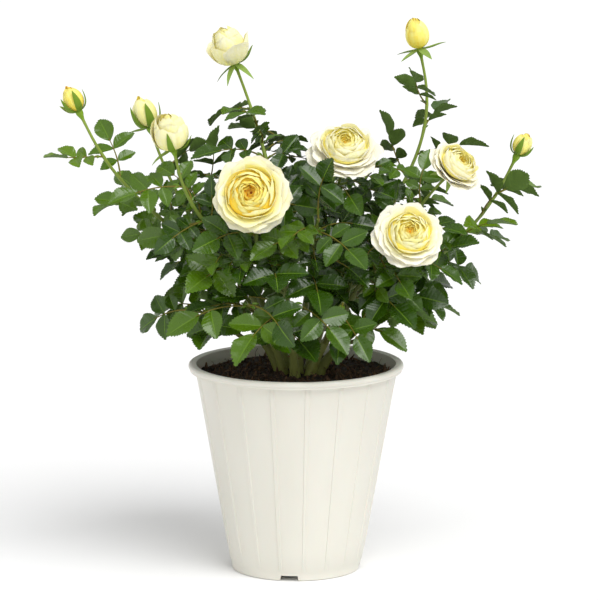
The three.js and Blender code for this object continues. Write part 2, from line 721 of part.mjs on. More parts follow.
/** One sepal: a narrow eight-faced blade that stands off from the hip's top. */
function sepalGeometry(place, flower, index) {
  const { length, width, opening, swell } = SEPALS[flower.kind];
  const turn = ((index + 0.3) / FLOWER.sepals) * 2 * Math.PI;
  const reach = length * flower.radius;
  const lean = opening * RAD;
  return shaped(new THREE.OctahedronGeometry(1), ({ x, y, z }) => {
    const along = (y + 1) / 2;
    const bow = swell * reach * Math.sin(along * Math.PI) + z * FLOWER.sepalThickness;
    const radius = FLOWER.hipRadius * 0.6 + reach * along * Math.sin(lean) + bow * Math.cos(lean);
    const height = reach * along * Math.cos(lean) - bow * Math.sin(lean) - 1;
    return onFlower(place, turn + (x * width * flower.radius) / Math.max(radius, 1), radius, height);
  });
}

/** A flower's node: its stalk, hip, sepals, petals and heart as one. */
function flowerSolid(flower) {
  const { place } = flower;
  const heart = HEARTS[flower.kind];
  const profile = [
    [0, -FLOWER.hipLength],
    [FLOWER.hipRadius, -FLOWER.hipLength * 0.45],
    [FLOWER.hipRadius * 0.8, 0],
    ...heart.profile.map(([radius, height]) => [radius * flower.radius, height * flower.radius]),
  ];
  profile.push([0, profile[profile.length - 1][1]]);
  const core = shaped(lathe(profile, heart.sides), ({ x, y, z }) => {
    const turn = Math.atan2(x, -y);
    const column = Math.round((turn / (2 * Math.PI)) * heart.sides);
    const lobed = column % 2 === 0 && z > 0.1 * flower.radius ? 1 + heart.lobe : 1;
    return onFlower(place, turn, Math.hypot(x, y) * lobed, z);
  });
  const stalkStart = place.foot.clone().addScaledVector(place.w, SEATING_GAP);
  const stalkEnd = onFlower(place, 0, 0, -FLOWER.hipLength * 0.5);
  const stalk = new THREE.LineCurve3(stalkStart, stalkEnd);
  const pieces = [
    solid(core),
    solid(limb(stalk, STEM.tipRadius, FLOWER.stalkRadius, { sides: 4, rings: 1 })),
  ];
  for (const whorl of WHORLS[flower.kind]) {
    for (let i = 0; i < whorl.petals; i++) pieces.push(solid(petalGeometry(place, flower, whorl, i)));
  }
  for (let i = 0; i < FLOWER.sepals; i++) pieces.push(solid(sepalGeometry(place, flower, i)));
  return fuse(pieces);
}

// ---------------------------------------------------------------- the whole plant

/** Every shoot with its curve and its own random numbers, and every flower's place. */
function planShoots(canes) {
  const flowering = FLOWERING.map((flower) => ({
    ...flower,
    place: flowerPlace(flower),
    last: flower.kind === OPEN ? 0.78 : 0.88,
  }));
  const leafy = LEAFY.map((shoot) => ({ first: 0.3, last: 1, ...shoot }));
  return [...flowering, ...leafy].map((shoot, index) => {
    const cane = canes.get(shoot.cane);
    const end = shoot.place ? shoot.place.foot : vector(shoot.tip);
    const start = startOnCane(cane, cane.curve, shoot.at, end);
    const towards = end.clone().sub(start.point).normalize();
    const arching = towards.clone().addScaledVector(UP, -STEM.nod).normalize();
    const endDirection = shoot.place ? shoot.place.w : arching;
    const endPull = shoot.kind === OPEN ? 0.22 : 0.42;
    return {
      divergence: LEAF.divergence,
      droop: LEAF.droop,
      ...shoot,
      curve: arch(start.point, start.direction, end, endDirection, 0.36, endPull),
      random: new Random(1000 + index * 77),
      grown: [],
    };
  });
}

/** Grows the leaves of all the shoots in turn, so that each shoot gets its share of the room. */
function growAll(canes, shoots) {
  const room = new Room();
  for (const cane of canes.values()) {
    const points = cane.curve.getPoints(40);
    room.take(points, cane.radius[0] + ROOM.stem, cane.name, null);
  }
  for (const shoot of shoots) {
    room.take(shoot.curve.getPoints(50), STEM.startRadius + ROOM.stem, shoot.name, null);
    if (!shoot.place) continue;
    room.takeBall(vector(shoot.centre), shoot.radius * (shoot.kind === BUD ? 1.3 : 1.02), shoot.name);
  }
  const most = Math.max(...shoots.map((shoot) => shoot.leaves));
  for (let i = 0; i < most; i++) {
    shoots.filter((shoot) => i < shoot.leaves).forEach((shoot) => growLeaf(shoot, i, room));
  }
}

function makeRoseBush() {
  const group = new THREE.Group();
  group.name = "rose_bush";
  group.add(meshOf("pot", makePot(), MATERIALS.pot));
  group.add(meshOf("soil", makeSoil(), MATERIALS.soil));

  const canes = new Map(CANES.map((cane) => [cane.name, { ...cane, curve: caneCurve(cane) }]));
  for (const cane of canes.values()) {
    const foot = { ...CANE, flare: CANE.footFlare, footHeight: SOIL.top + SEATING_GAP };
    const shape = limb(cane.curve, cane.radius[0], cane.radius[1], foot);
    group.add(meshOf(cane.name, solid(shape), MATERIALS.cane));
  }

  const shoots = planShoots(canes);
  growAll(canes, shoots);
  for (const shoot of shoots) {
    group.add(meshOf(`shoot_${shoot.name}`, shootSolid(shoot), MATERIALS.foliage));
    if (shoot.place) group.add(meshOf(`${shoot.kind}_${shoot.name}`, flowerSolid(shoot), MATERIALS.petal));
  }
  return group;
}

export default makeRoseBush();
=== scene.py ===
"""The looks of a potted rose bush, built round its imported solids.

Lengths are in millimetres until a mesh is written, and a written mesh is in metres. +Z is up, and the
bush's front faces -Y.
"""

import logging
import math
from dataclasses import dataclass, field
from enum import Enum
from functools import lru_cache
from typing import Iterable, Sequence

import bpy
import numpy as np
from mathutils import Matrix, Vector, noise

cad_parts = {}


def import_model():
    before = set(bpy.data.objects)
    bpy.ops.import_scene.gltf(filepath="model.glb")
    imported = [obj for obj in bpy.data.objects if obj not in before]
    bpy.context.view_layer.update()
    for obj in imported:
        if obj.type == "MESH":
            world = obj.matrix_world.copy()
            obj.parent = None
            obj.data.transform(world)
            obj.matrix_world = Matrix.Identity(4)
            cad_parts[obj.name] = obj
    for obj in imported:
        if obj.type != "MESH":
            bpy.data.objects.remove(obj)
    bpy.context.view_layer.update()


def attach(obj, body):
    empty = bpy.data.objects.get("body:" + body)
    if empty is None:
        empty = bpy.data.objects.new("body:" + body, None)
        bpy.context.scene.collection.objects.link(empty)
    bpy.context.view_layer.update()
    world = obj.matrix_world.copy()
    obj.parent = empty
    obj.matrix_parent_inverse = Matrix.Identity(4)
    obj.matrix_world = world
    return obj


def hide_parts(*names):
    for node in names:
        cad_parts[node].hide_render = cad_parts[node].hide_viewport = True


LOG = logging.getLogger("rose_bush")
MM = 0.001
BODY = "root"
UP = np.array((0.0, 0.0, 1.0))
FRONT = np.array((0.0, -1.0, 0.0))
Colour = tuple[float, float, float]
Point = tuple[float, float, float]
Point2 = tuple[float, float]
Range = tuple[float, float]
Array = np.ndarray
Object = bpy.types.Object
Material = bpy.types.Material
Socket = bpy.types.NodeSocket


# ---- numbers and curves


def mix(low: float, high: float, share: float) -> float:
    """The value at a share of the way from low to high."""
    return low + (high - low) * share


def unit(vector: Array) -> Array:
    """The vector at length one."""
    return vector / np.linalg.norm(vector)


def turned(vector: Array, axis: Array, angle: float) -> Array:
    """A vector turned about an axis of length one by an angle in radians."""
    along = axis * axis.dot(vector) * (1 - math.cos(angle))
    return vector * math.cos(angle) + np.cross(axis, vector) * math.sin(angle) + along


def even_turns(sides: int) -> Array:
    """Turns from 0 that are evenly spaced round a circle, in radians."""
    return np.arange(sides) / sides * 2 * math.pi


class Random:
    """Numbers from 0 to 1 that are the same each time for one seed."""

    MULTIPLIER = 1664525
    STEP = 1013904223
    RANGE = 4294967296

    def __init__(self, seed: int) -> None:
        """Starts the row of numbers at a seed."""
        self.state = seed

    def next(self) -> float:
        """The next number."""
        self.state = (self.state * self.MULTIPLIER + self.STEP) % self.RANGE
        return self.state / self.RANGE

    def spread(self, most: float) -> float:
        """A number between -most and most."""
        return (2 * self.next() - 1) * most

    def between(self, low: float, high: float) -> float:
        """A number between low and high."""
        return mix(low, high, self.next())


@dataclass(frozen=True)
class Bezier:
    """A Bezier curve of three or four control points."""

    knots: Array
    tangent_step: float = 0.0001

    def points(self, shares: Sequence[float]) -> Array:
        """The curve's points.

        Args:
            shares: how far along the curve each point is, from 0 to 1.

        Returns:
            One point for each share.
        """
        t = np.asarray(shares, float)[:, None]
        order = len(self.knots) - 1
        total = np.zeros((len(t), self.knots.shape[1]))
        for i, knot in enumerate(self.knots):
            total += math.comb(order, i) * (1 - t) ** (order - i) * t**i * knot
        return total

    def point(self, share: float) -> Array:
        """The curve's point at one share."""
        return self.points([share])[0]

    def tangent(self, share: float) -> Array:
        """The curve's direction at a share."""
        low = max(share - self.tangent_step, 0)
        high = min(share + self.tangent_step, 1)
        return unit(self.point(high) - self.point(low))


def arch(start: Array, leaving: Array, end: Array, arriving: Array,
         start_pull: float = 0.36, end_pull: float = 0.36) -> Bezier:
    """The curve from start to end that leaves and arrives along two directions.

    Args:
        start: where the curve starts.
        leaving: its direction there.
        end: where it ends.
        arriving: its direction there.
        start_pull: how far it keeps the first direction, as a share of its span.
        end_pull: how far before its end it takes the second one.

    Returns:
        The curve.
    """
    span = np.linalg.norm(end - start)
    return Bezier(np.array([start, start + leaving * span * start_pull,
                            end - arriving * span * end_pull, end]))


def rings_along(path: Array, radii: Array, sides: int) -> Array:
    """Rings of points round a path, which don't twist from one to the next.

    Args:
        path: the path's points.
        radii: a radius for each point, or one for each point and side.
        sides: how many points each ring has.

    Returns:
        Points by ring and side.
    """
    tangents = np.gradient(path, axis=0)
    tangents /= np.linalg.norm(tangents, axis=1)[:, None]
    helper = FRONT if abs(tangents[0].dot(FRONT)) < 0.9 else UP
    normal = unit(np.cross(tangents[0], helper))
    turns = even_turns(sides)
    rings = np.zeros((len(path), sides, 3))
    radii = np.broadcast_to(radii if radii.ndim == 2 else radii[:, None], (len(path), sides))
    for i, tangent in enumerate(tangents):
        normal = unit(normal - tangent * normal.dot(tangent))
        across = np.cross(tangent, normal)
        round_it = np.cos(turns)[:, None] * normal + np.sin(turns)[:, None] * across
        rings[i] = path[i] + round_it * radii[i][:, None]
    return rings


# ---- meshes


@lru_cache(maxsize=None)
def grid_quads(rows: int, columns: int, closed: bool = False) -> Array:
    """The quads of a grid of points, whose fronts face columns x rows.

    Args:
        rows: rows of points.
        columns: points in each row.
        closed: whether each row's last point joins its first.

    Returns:
        Four point numbers for each quad, row by row.
    """
    across = columns if closed else columns - 1
    row, column = np.meshgrid(np.arange(rows - 1), np.arange(across), indexing="ij")
    after = (column + 1) % columns
    corners = [row * columns + column, row * columns + after,
               (row + 1) * columns + after, (row + 1) * columns + column]
    return np.stack(corners, axis=-1).reshape(-1, 4)


@lru_cache(maxsize=None)
def sheet_quads(rows: int, columns: int, plain: bool) -> tuple[Array, Array]:
    """The quads of a thin closed sheet.

    Args:
        rows: rows of points.
        columns: points in each row.
        plain: whether the under side has only two strips, which meet in its middle.

    Returns:
        The quads of its upper side and of its under side, which share their border. The under side's
        own points are numbered on after the upper side's.
    """
    numbers = np.arange(rows * columns).reshape(rows, columns)
    upper = grid_quads(rows, columns)
    if plain:
        numbers = numbers[:, [0, columns // 2, -1]]
    inner = numbers[1:-1, 1:-1]
    numbers[1:-1, 1:-1] = upper.max() + 1 + np.arange(inner.size).reshape(inner.shape)
    return upper, numbers.reshape(-1)[grid_quads(rows, numbers.shape[1])][:, ::-1]


class MeshMaker:
    """Gathers corners and faces, and writes them as one mesh."""

    SHARP = math.radians(75)

    def __init__(self) -> None:
        """Starts with nothing in it."""
        self.corners: list[Array] = []
        self.faces: dict[int, list[Array]] = {3: [], 4: []}
        self.slots: dict[int, list[Array]] = {3: [], 4: []}
        self.count = 0

    def add(self, corners: Array, faces: Array, slot: "int | Array" = 0, first: "int | None" = None) -> int:
        """Adds corners and faces of one kind.

        Args:
            corners: points to add, which may be none.
            faces: three or four point numbers for each face, counted from first.
            slot: the material slot of all the faces, or one for each.
            first: the number of the point that the faces count from, or None for the first one added.

        Returns:
            The number of the first point added.
        """
        start = self.count
        self.corners.append(np.asarray(corners, float).reshape(-1, 3))
        self.count += len(self.corners[-1])
        sides = faces.shape[1]
        self.faces[sides].append(faces + (start if first is None else first))
        self.slots[sides].append(np.broadcast_to(slot, len(faces)))
        return start

    def tube(self, rings: Array, slot: int = 0, ends: "Array | None" = None) -> None:
        """Adds a closed tube.

        Args:
            rings: its points by ring and side.
            slot: the material slot of all its faces.
            ends: the middles of its two end faces, or None for those of its end rings.
        """
        count, sides = rings.shape[:2]
        start = self.add(rings, grid_quads(count, sides, True), slot)
        if ends is None:
            ends = np.array([rings[0].mean(0), rings[-1].mean(0)])
        side = np.arange(sides)
        after = (side + 1) % sides
        last = (count - 1) * sides
        total = count * sides
        caps = [np.stack([np.full(sides, total), after, side], 1),
                np.stack([np.full(sides, total + 1), last + side, last + after], 1)]
        self.add(ends, np.concatenate(caps), slot, first=start)

    def sheet(self, grid: Array, thickness: float, upper: "int | Array",
              under: "int | Array", plain: bool = False) -> None:
        """Adds a thin closed sheet.

        Args:
            grid: its middle surface's points by row and column.
            thickness: how thick it is away from its border, which is sharp.
            upper: the material slot of its upper side, or one for each face.
            under: the same for its under side.
            plain: whether the under side has only two strips, which meet in its middle.
        """
        rows, columns = grid.shape[:2]
        along = np.gradient(grid, axis=0)
        across = np.gradient(grid, axis=1)
        normals = np.cross(across, along)
        normals /= np.linalg.norm(normals, axis=2)[..., None] + 1e-9
        top = grid.copy()
        top[1:-1, 1:-1] += normals[1:-1, 1:-1] * thickness / 2
        bottom = grid[1:-1, 1:-1] - normals[1:-1, 1:-1] * thickness / 2
        if plain:
            middle = columns // 2
            bottom = grid[1:-1, middle - 1:middle + 1].mean(1) - normals[1:-1, middle] * thickness * 1.75
        corners = np.concatenate([top.reshape(-1, 3), bottom.reshape(-1, 3)])
        upper_quads, under_quads = sheet_quads(rows, columns, plain)
        start = self.add(corners, upper_quads, upper)
        self.add(np.zeros((0, 3)), under_quads, under, first=start)

    def write(self, name: str, materials: Sequence[Material]) -> Object:
        """Writes what was gathered as an object in metres at the origin.

        Args:
            name: the object's name.
            materials: its material slots.

        Returns:
            The object.
        """
        kinds = [sides for sides in (3, 4) if self.faces[sides]]
        faces = {sides: np.concatenate(self.faces[sides]) for sides in kinds}
        slots = np.concatenate([np.concatenate(self.slots[sides]) for sides in kinds])
        sizes = np.concatenate([np.full(len(faces[sides]), sides) for sides in kinds])
        loops = np.concatenate([faces[sides].reshape(-1) for sides in kinds])
        mesh = bpy.data.meshes.new(name)
        mesh.vertices.add(self.count)
        mesh.vertices.foreach_set("co", (np.concatenate(self.corners) * MM).astype("f").reshape(-1))
        mesh.loops.add(len(loops))
        mesh.loops.foreach_set("vertex_index", loops.astype("i"))
        mesh.polygons.add(len(sizes))
        starts = np.concatenate([[0], np.cumsum(sizes)[:-1]])
        mesh.polygons.foreach_set("loop_start", starts.astype("i"))
        mesh.polygons.foreach_set("material_index", slots.astype("i"))
        mesh.update(calc_edges=True)
        mesh.validate()
        mesh.shade_smooth()
        mesh.set_sharp_from_angle(angle=self.SHARP)
        for material in materials:
            mesh.materials.append(material)
        return link(name, mesh)


def link(name: str, data: bpy.types.ID) -> Object:
    """A new object of a mesh, a light or a camera, in the scene."""
    made = bpy.data.objects.new(name, data)
    bpy.context.scene.collection.objects.link(made)
    return made


def as_modified(piece: Object) -> bpy.types.Mesh:
    """A new mesh of a piece as its modifiers leave it."""
    graph = bpy.context.evaluated_depsgraph_get()
    return bpy.data.meshes.new_from_object(piece.evaluated_get(graph), depsgraph=graph)


def settle(piece: Object, slot: str, nodes: Iterable[str] = ()) -> Object:
    """Gives a finished piece to the frame.

    Args:
        piece: the piece's object.
        slot: the record's material slot that it stands for, which is only written to the log.
        nodes: the solids that it stands for.

    Returns:
        The same object.
    """
    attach(piece, BODY)
    if nodes:
        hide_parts(*nodes)
    faces = sum(len(polygon.vertices) - 2 for polygon in piece.data.polygons)
    LOG.info("%s: %d triangles, %s", piece.name, faces, slot)
    return piece


# ---- finishes


class Shading:
    """A new material with one Principled shader, and short ways to add nodes to it."""

    def __init__(self, name: str) -> None:
        """Makes the material."""
        self.material = bpy.data.materials.new(name)
        self.material.use_nodes = True
        self.nodes = self.material.node_tree.nodes
        self.links = self.material.node_tree.links
        self.shader = next(node for node in self.nodes if node.type == "BSDF_PRINCIPLED")
        self.coordinates = self.nodes.new("ShaderNodeTexCoord")

    def set(self, **values: "float | Colour") -> "Shading":
        """Sets the shader's own sockets. A name's underscores stand for spaces."""
        for name, value in values.items():
            self.shader.inputs[name.replace("_", " ")].default_value = value
        return self

    def noise(self, size: float, detail: float = 3.0, stretch: Point = (1.0, 1.0, 1.0)) -> Socket:
        """Noise on the piece's Object coordinates.

        Args:
            size: how far apart its blotches are, in millimetres.
            detail: how many finer layers it has.
            stretch: how many times faster it changes along each axis.

        Returns:
            The noise's value, from 0 to 1.
        """
        mapping = self.nodes.new("ShaderNodeMapping")
        mapping.inputs["Scale"].default_value = stretch
        self.links.new(self.coordinates.outputs["Object"], mapping.inputs["Vector"])
        texture = self.nodes.new("ShaderNodeTexNoise")
        texture.inputs["Scale"].default_value = 1 / (size * MM)
        texture.inputs["Detail"].default_value = detail
        self.links.new(mapping.outputs["Vector"], texture.inputs["Vector"])
        return texture.outputs["Fac"]

    def height(self) -> Socket:
        """The piece's own height in metres."""
        split = self.nodes.new("ShaderNodeSeparateXYZ")
        self.links.new(self.coordinates.outputs["Object"], split.inputs["Vector"])
        return split.outputs["Z"]

    def range(self, value: Socket, start: Range, end: Range) -> Socket:
        """A value moved from one range to another.

        Args:
            value: the value.
            start: the range that it comes from.
            end: the range that it goes to.

        Returns:
            The moved value.
        """
        node = self.nodes.new("ShaderNodeMapRange")
        names = ("From Min", "From Max", "To Min", "To Max")
        for name, number in zip(names, (*start, *end)):
            node.inputs[name].default_value = number
        self.links.new(value, node.inputs["Value"])
        return node.outputs["Result"]

    def ramp(self, value: Socket, stops: Sequence[tuple[float, Colour]]) -> Socket:
        """A colour for a value.

        Args:
            value: the value, from 0 to 1.
            stops: values in rising order, each with its colour.

        Returns:
            The colour.
        """
        node = self.nodes.new("ShaderNodeValToRGB")
        for _ in range(len(stops) - 2):
            node.color_ramp.elements.new(0.5)
        for element, (place, colour) in zip(node.color_ramp.elements, stops):
            element.position = place
            element.color = (*colour, 1)
        self.links.new(value, node.inputs["Fac"])
        return node.outputs["Color"]

    def blend(self, share: Socket, first: Socket, second: Socket) -> Socket:
        """A colour between two.

        Args:
            share: how far from the first to the second.
            first: the colour at 0.
            second: the colour at 1.

        Returns:
            The blend.
        """
        node = self.nodes.new("ShaderNodeMix")
        node.data_type = "RGBA"
        self.links.new(share, node.inputs["Factor"])
        self.links.new(first, node.inputs[6])
        self.links.new(second, node.inputs[7])
        return node.outputs[2]

    def colour(self, value: "Socket | Colour") -> "Shading":
        """Gives the surface its colour, plain or from a socket."""
        if isinstance(value, tuple):
            self.shader.inputs["Base Color"].default_value = (*value, 1)
        else:
            self.links.new(value, self.shader.inputs["Base Color"])
        return self

    def rough(self, value: Socket, ends: Range) -> "Shading":
        """Makes the roughness follow a value, from one end to the other."""
        self.links.new(self.range(value, (0.3, 0.7), ends), self.shader.inputs["Roughness"])
        return self

    def bump(self, value: Socket, depth: float, strength: float = 1.0) -> "Shading":
        """Makes the surface's relief follow a value.

        Args:
            value: the relief's height, from 0 to 1.
            depth: its depth at 1, in millimetres.
            strength: how much of it shows, from 0 to 1.

        Returns:
            The same shading.
        """
        node = self.nodes.new("ShaderNodeBump")
        node.inputs["Distance"].default_value = depth * MM
        node.inputs["Strength"].default_value = strength
        self.links.new(value, node.inputs["Height"])
        before = self.shader.inputs["Normal"]
        if before.links:
            self.links.new(before.links[0].from_socket, node.inputs["Normal"])
        self.links.new(node.outputs["Normal"], before)
        return self


@dataclass(frozen=True)
class LeafFinish:
    """A leaf's waxy skin in one plain green."""

    name: str
    colour: Colour
    gloss: float = 0.5
    roughness: Range = (0.17, 0.32)
    blotch: float = 6.0
    grain: float = 1.4
    grain_depth: float = 0.12

    def make(self) -> Material:
        """The material."""
        shading = Shading(self.name)
        shading.colour(self.colour).set(Specular_IOR_Level=self.gloss)
        shading.rough(shading.noise(self.blotch), self.roughness)
        return shading.bump(shading.noise(self.grain), self.grain_depth).material


@dataclass(frozen=True)
class PetalFinish:
    """A petal's soft matt skin in one plain shade."""

    name: str
    colour: Colour
    gloss: float = 0.25
    roughness: Range = (0.5, 0.66)
    glow: float = 0.35
    glow_depth: float = 1.5
    glow_tint: Colour = (1.0, 0.9, 0.6)
    blotch: float = 8.0
    grain: float = 2.0
    grain_depth: float = 0.1

    def make(self) -> Material:
        """The material."""
        shading = Shading(self.name)
        shading.colour(self.colour).set(Subsurface_Weight=self.glow, Specular_IOR_Level=self.gloss)
        shading.set(Subsurface_Scale=self.glow_depth * MM, Subsurface_Radius=self.glow_tint)
        shading.rough(shading.noise(self.blotch), self.roughness)
        return shading.bump(shading.noise(self.grain, 2.0), self.grain_depth).material


@dataclass(frozen=True)
class StemFinish:
    """Green bark that turns from brown and woody at the foot to fresh green at the top."""

    name: str
    woody: Colour
    green: Colour
    fresh: Colour
    bottom: float = 205.0
    top: float = 470.0
    streak: float = 3.0
    relief: float = 0.35
    roughness: Range = (0.42, 0.65)
    patch: float = 11.0

    def make(self) -> Material:
        """The material."""
        shading = Shading(self.name)
        climb = shading.range(shading.height(), (self.bottom * MM, self.top * MM), (0, 1))
        by_height = shading.ramp(climb, [(0.0, self.woody), (0.45, self.green), (1.0, self.fresh)])
        streaks = shading.noise(self.streak, 4.0, (1.0, 1.0, 0.18))
        aged = shading.ramp(streaks, [(0.3, tuple(0.55 * c for c in self.woody)), (0.7, self.woody)])
        patches = shading.noise(self.patch, 3.0, (1, 1, 0.4))
        weather = shading.range(patches, (0.42, 0.62), (0.0, 0.55))
        fade = shading.range(climb, (0.0, 0.8), (1.0, 0.05))
        share = shading.nodes.new("ShaderNodeMath")
        share.operation = "MULTIPLY"
        shading.links.new(weather, share.inputs[0])
        shading.links.new(fade, share.inputs[1])
        shading.colour(shading.blend(share.outputs[0], by_height, aged))
        shading.rough(streaks, self.roughness)
        return shading.bump(streaks, self.relief).material


@dataclass(frozen=True)
class PlasticFinish:
    """Moulded off-white plastic with a faint grain and handling marks."""

    name: str
    colour: Colour
    shadow: Colour
    cloud: float = 60.0
    mark: float = 25.0
    roughness: Range = (0.36, 0.5)
    glow: float = 0.06
    glow_depth: float = 2.0
    grain: float = 1.1
    grain_depth: float = 0.05
    wave: float = 18.0
    wave_depth: float = 0.25

    def make(self) -> Material:
        """The material."""
        shading = Shading(self.name)
        clouds = shading.noise(self.cloud, 3.0, (1, 1, 0.35))
        shading.colour(shading.ramp(clouds, [(0.3, self.shadow), (0.65, self.colour)]))
        shading.rough(shading.noise(self.mark, 5.0), self.roughness)
        shading.set(Subsurface_Weight=self.glow, Subsurface_Scale=self.glow_depth * MM)
        shading.bump(shading.noise(self.grain, 2.0), self.grain_depth, 0.6)
        return shading.bump(shading.noise(self.wave, 2.0, (1, 1, 0.3)), self.wave_depth, 0.5).material


@dataclass(frozen=True)
class EarthFinish:
    """Damp compost, or the bits that lie in it."""

    name: str
    dark: Colour
    light: Colour
    blotch: float = 5.0
    relief: float = 1.2
    roughness: Range = (0.75, 0.98)

    def make(self) -> Material:
        """The material."""
        shading = Shading(self.name)
        blotches = shading.noise(self.blotch, 6.0)
        shading.colour(shading.ramp(blotches, [(0.35, self.dark), (0.7, self.light)]))
        shading.rough(blotches, self.roughness)
        return shading.bump(shading.noise(self.blotch * 0.3, 5.0), self.relief).material


@dataclass(frozen=True)
class StageFinish:
    """The plain pale surface that the pot stands on."""

    name: str
    colour: Colour
    roughness: float = 0.9
    gloss: float = 0.1

    def make(self) -> Material:
        """The material."""
        shading = Shading(self.name).colour(self.colour)
        return shading.set(Roughness=self.roughness, Specular_IOR_Level=self.gloss).material


class Palette:
    """Every finish of the plant, made once."""

    GREENS: tuple[Colour, ...] = (
        (0.016, 0.046, 0.0008),
        (0.024, 0.066, 0.0010),
        (0.038, 0.094, 0.0012),
        (0.066, 0.142, 0.0020),
        (0.110, 0.205, 0.0040),
    )
    # From the outer petals' ivory to the gold deep between the inner ones.
    PETALS: tuple[Colour, ...] = (
        (0.97, 0.93, 0.76),
        (0.98, 0.93, 0.64),
        (0.98, 0.92, 0.50),
        (0.99, 0.91, 0.36),
        (0.99, 0.87, 0.24),
        (0.99, 0.78, 0.12),
        (0.96, 0.62, 0.05),
        (0.88, 0.42, 0.02),
    )

    def __init__(self) -> None:
        """Makes the materials."""
        self.leaves = [LeafFinish(f"leaf_green_{i}", c).make() for i, c in enumerate(self.GREENS)]
        self.leaves += [LeafFinish("leaf_underside", (0.10, 0.17, 0.035), 0.1, (0.5, 0.65)).make(),
                        LeafFinish("leaf_vein", (0.13, 0.24, 0.02), 0.3).make(),
                        LeafFinish("leaf_stalk", (0.17, 0.15, 0.02), 0.2, (0.45, 0.6)).make()]
        steps = np.arange(self.EYE) / self.PETAL_STEPS
        keys = np.array(self.PETALS).T
        colours = np.stack([np.interp(steps, np.arange(len(self.PETALS)), key) for key in keys], 1)
        self.petals = [PetalFinish(f"petal_{i}", tuple(c)).make() for i, c in enumerate(colours.tolist())]
        self.petals.append(PetalFinish("petal_eye", (0.30, 0.10, 0.012)).make())
        self.sepals = [LeafFinish("sepal_outside", (0.16, 0.27, 0.02), 0.2, (0.4, 0.6)).make(),
                       LeafFinish("sepal_inside", (0.26, 0.38, 0.09), 0.05, (0.55, 0.7)).make(),
                       LeafFinish("hip_green", (0.20, 0.34, 0.02), 0.3, (0.35, 0.5)).make()]
        self.stem = StemFinish("stem_bark", (0.13, 0.13, 0.025), (0.14, 0.20, 0.025),
                               (0.24, 0.34, 0.035)).make()
        self.bark = StemFinish("cane_bark", (0.22, 0.24, 0.045), (0.13, 0.15, 0.03),
                               (0.17, 0.22, 0.04), 200.0, 320.0, 4.0, 0.6).make()
        self.prickle = LeafFinish("prickle_brown", (0.22, 0.11, 0.04), 0.2, (0.35, 0.5)).make()
        self.plastic = PlasticFinish("pot_plastic", (0.75, 0.73, 0.65), (0.71, 0.69, 0.61)).make()
        self.earth = EarthFinish("compost_dark", (0.005, 0.003, 0.002), (0.040, 0.021, 0.010)).make()
        self.crumb = EarthFinish("compost_crumb", (0.010, 0.005, 0.003), (0.085, 0.042, 0.018)).make()
        self.fibre = EarthFinish("compost_fibre", (0.04, 0.020, 0.009), (0.19, 0.10, 0.045)).make()
        self.stage = StageFinish("studio_floor", (0.94, 0.94, 0.94)).make()

    UNDERSIDE = len(GREENS)
    VEIN = UNDERSIDE + 1
    STALK = UNDERSIDE + 2
    SEPAL, SEPAL_INSIDE, HIP = range(3)
    PETAL_STEPS = 2
    EYE = (len(PETALS) - 1) * PETAL_STEPS + 1

    @classmethod
    def petal_slot(cls, shade: Array) -> Array:
        """The petals' slot for a shade, where whole numbers are the colours of PETALS."""
        return np.clip(np.round(shade * cls.PETAL_STEPS), 0, cls.EYE - 1).astype(int)


# ---- scattering by Geometry Nodes


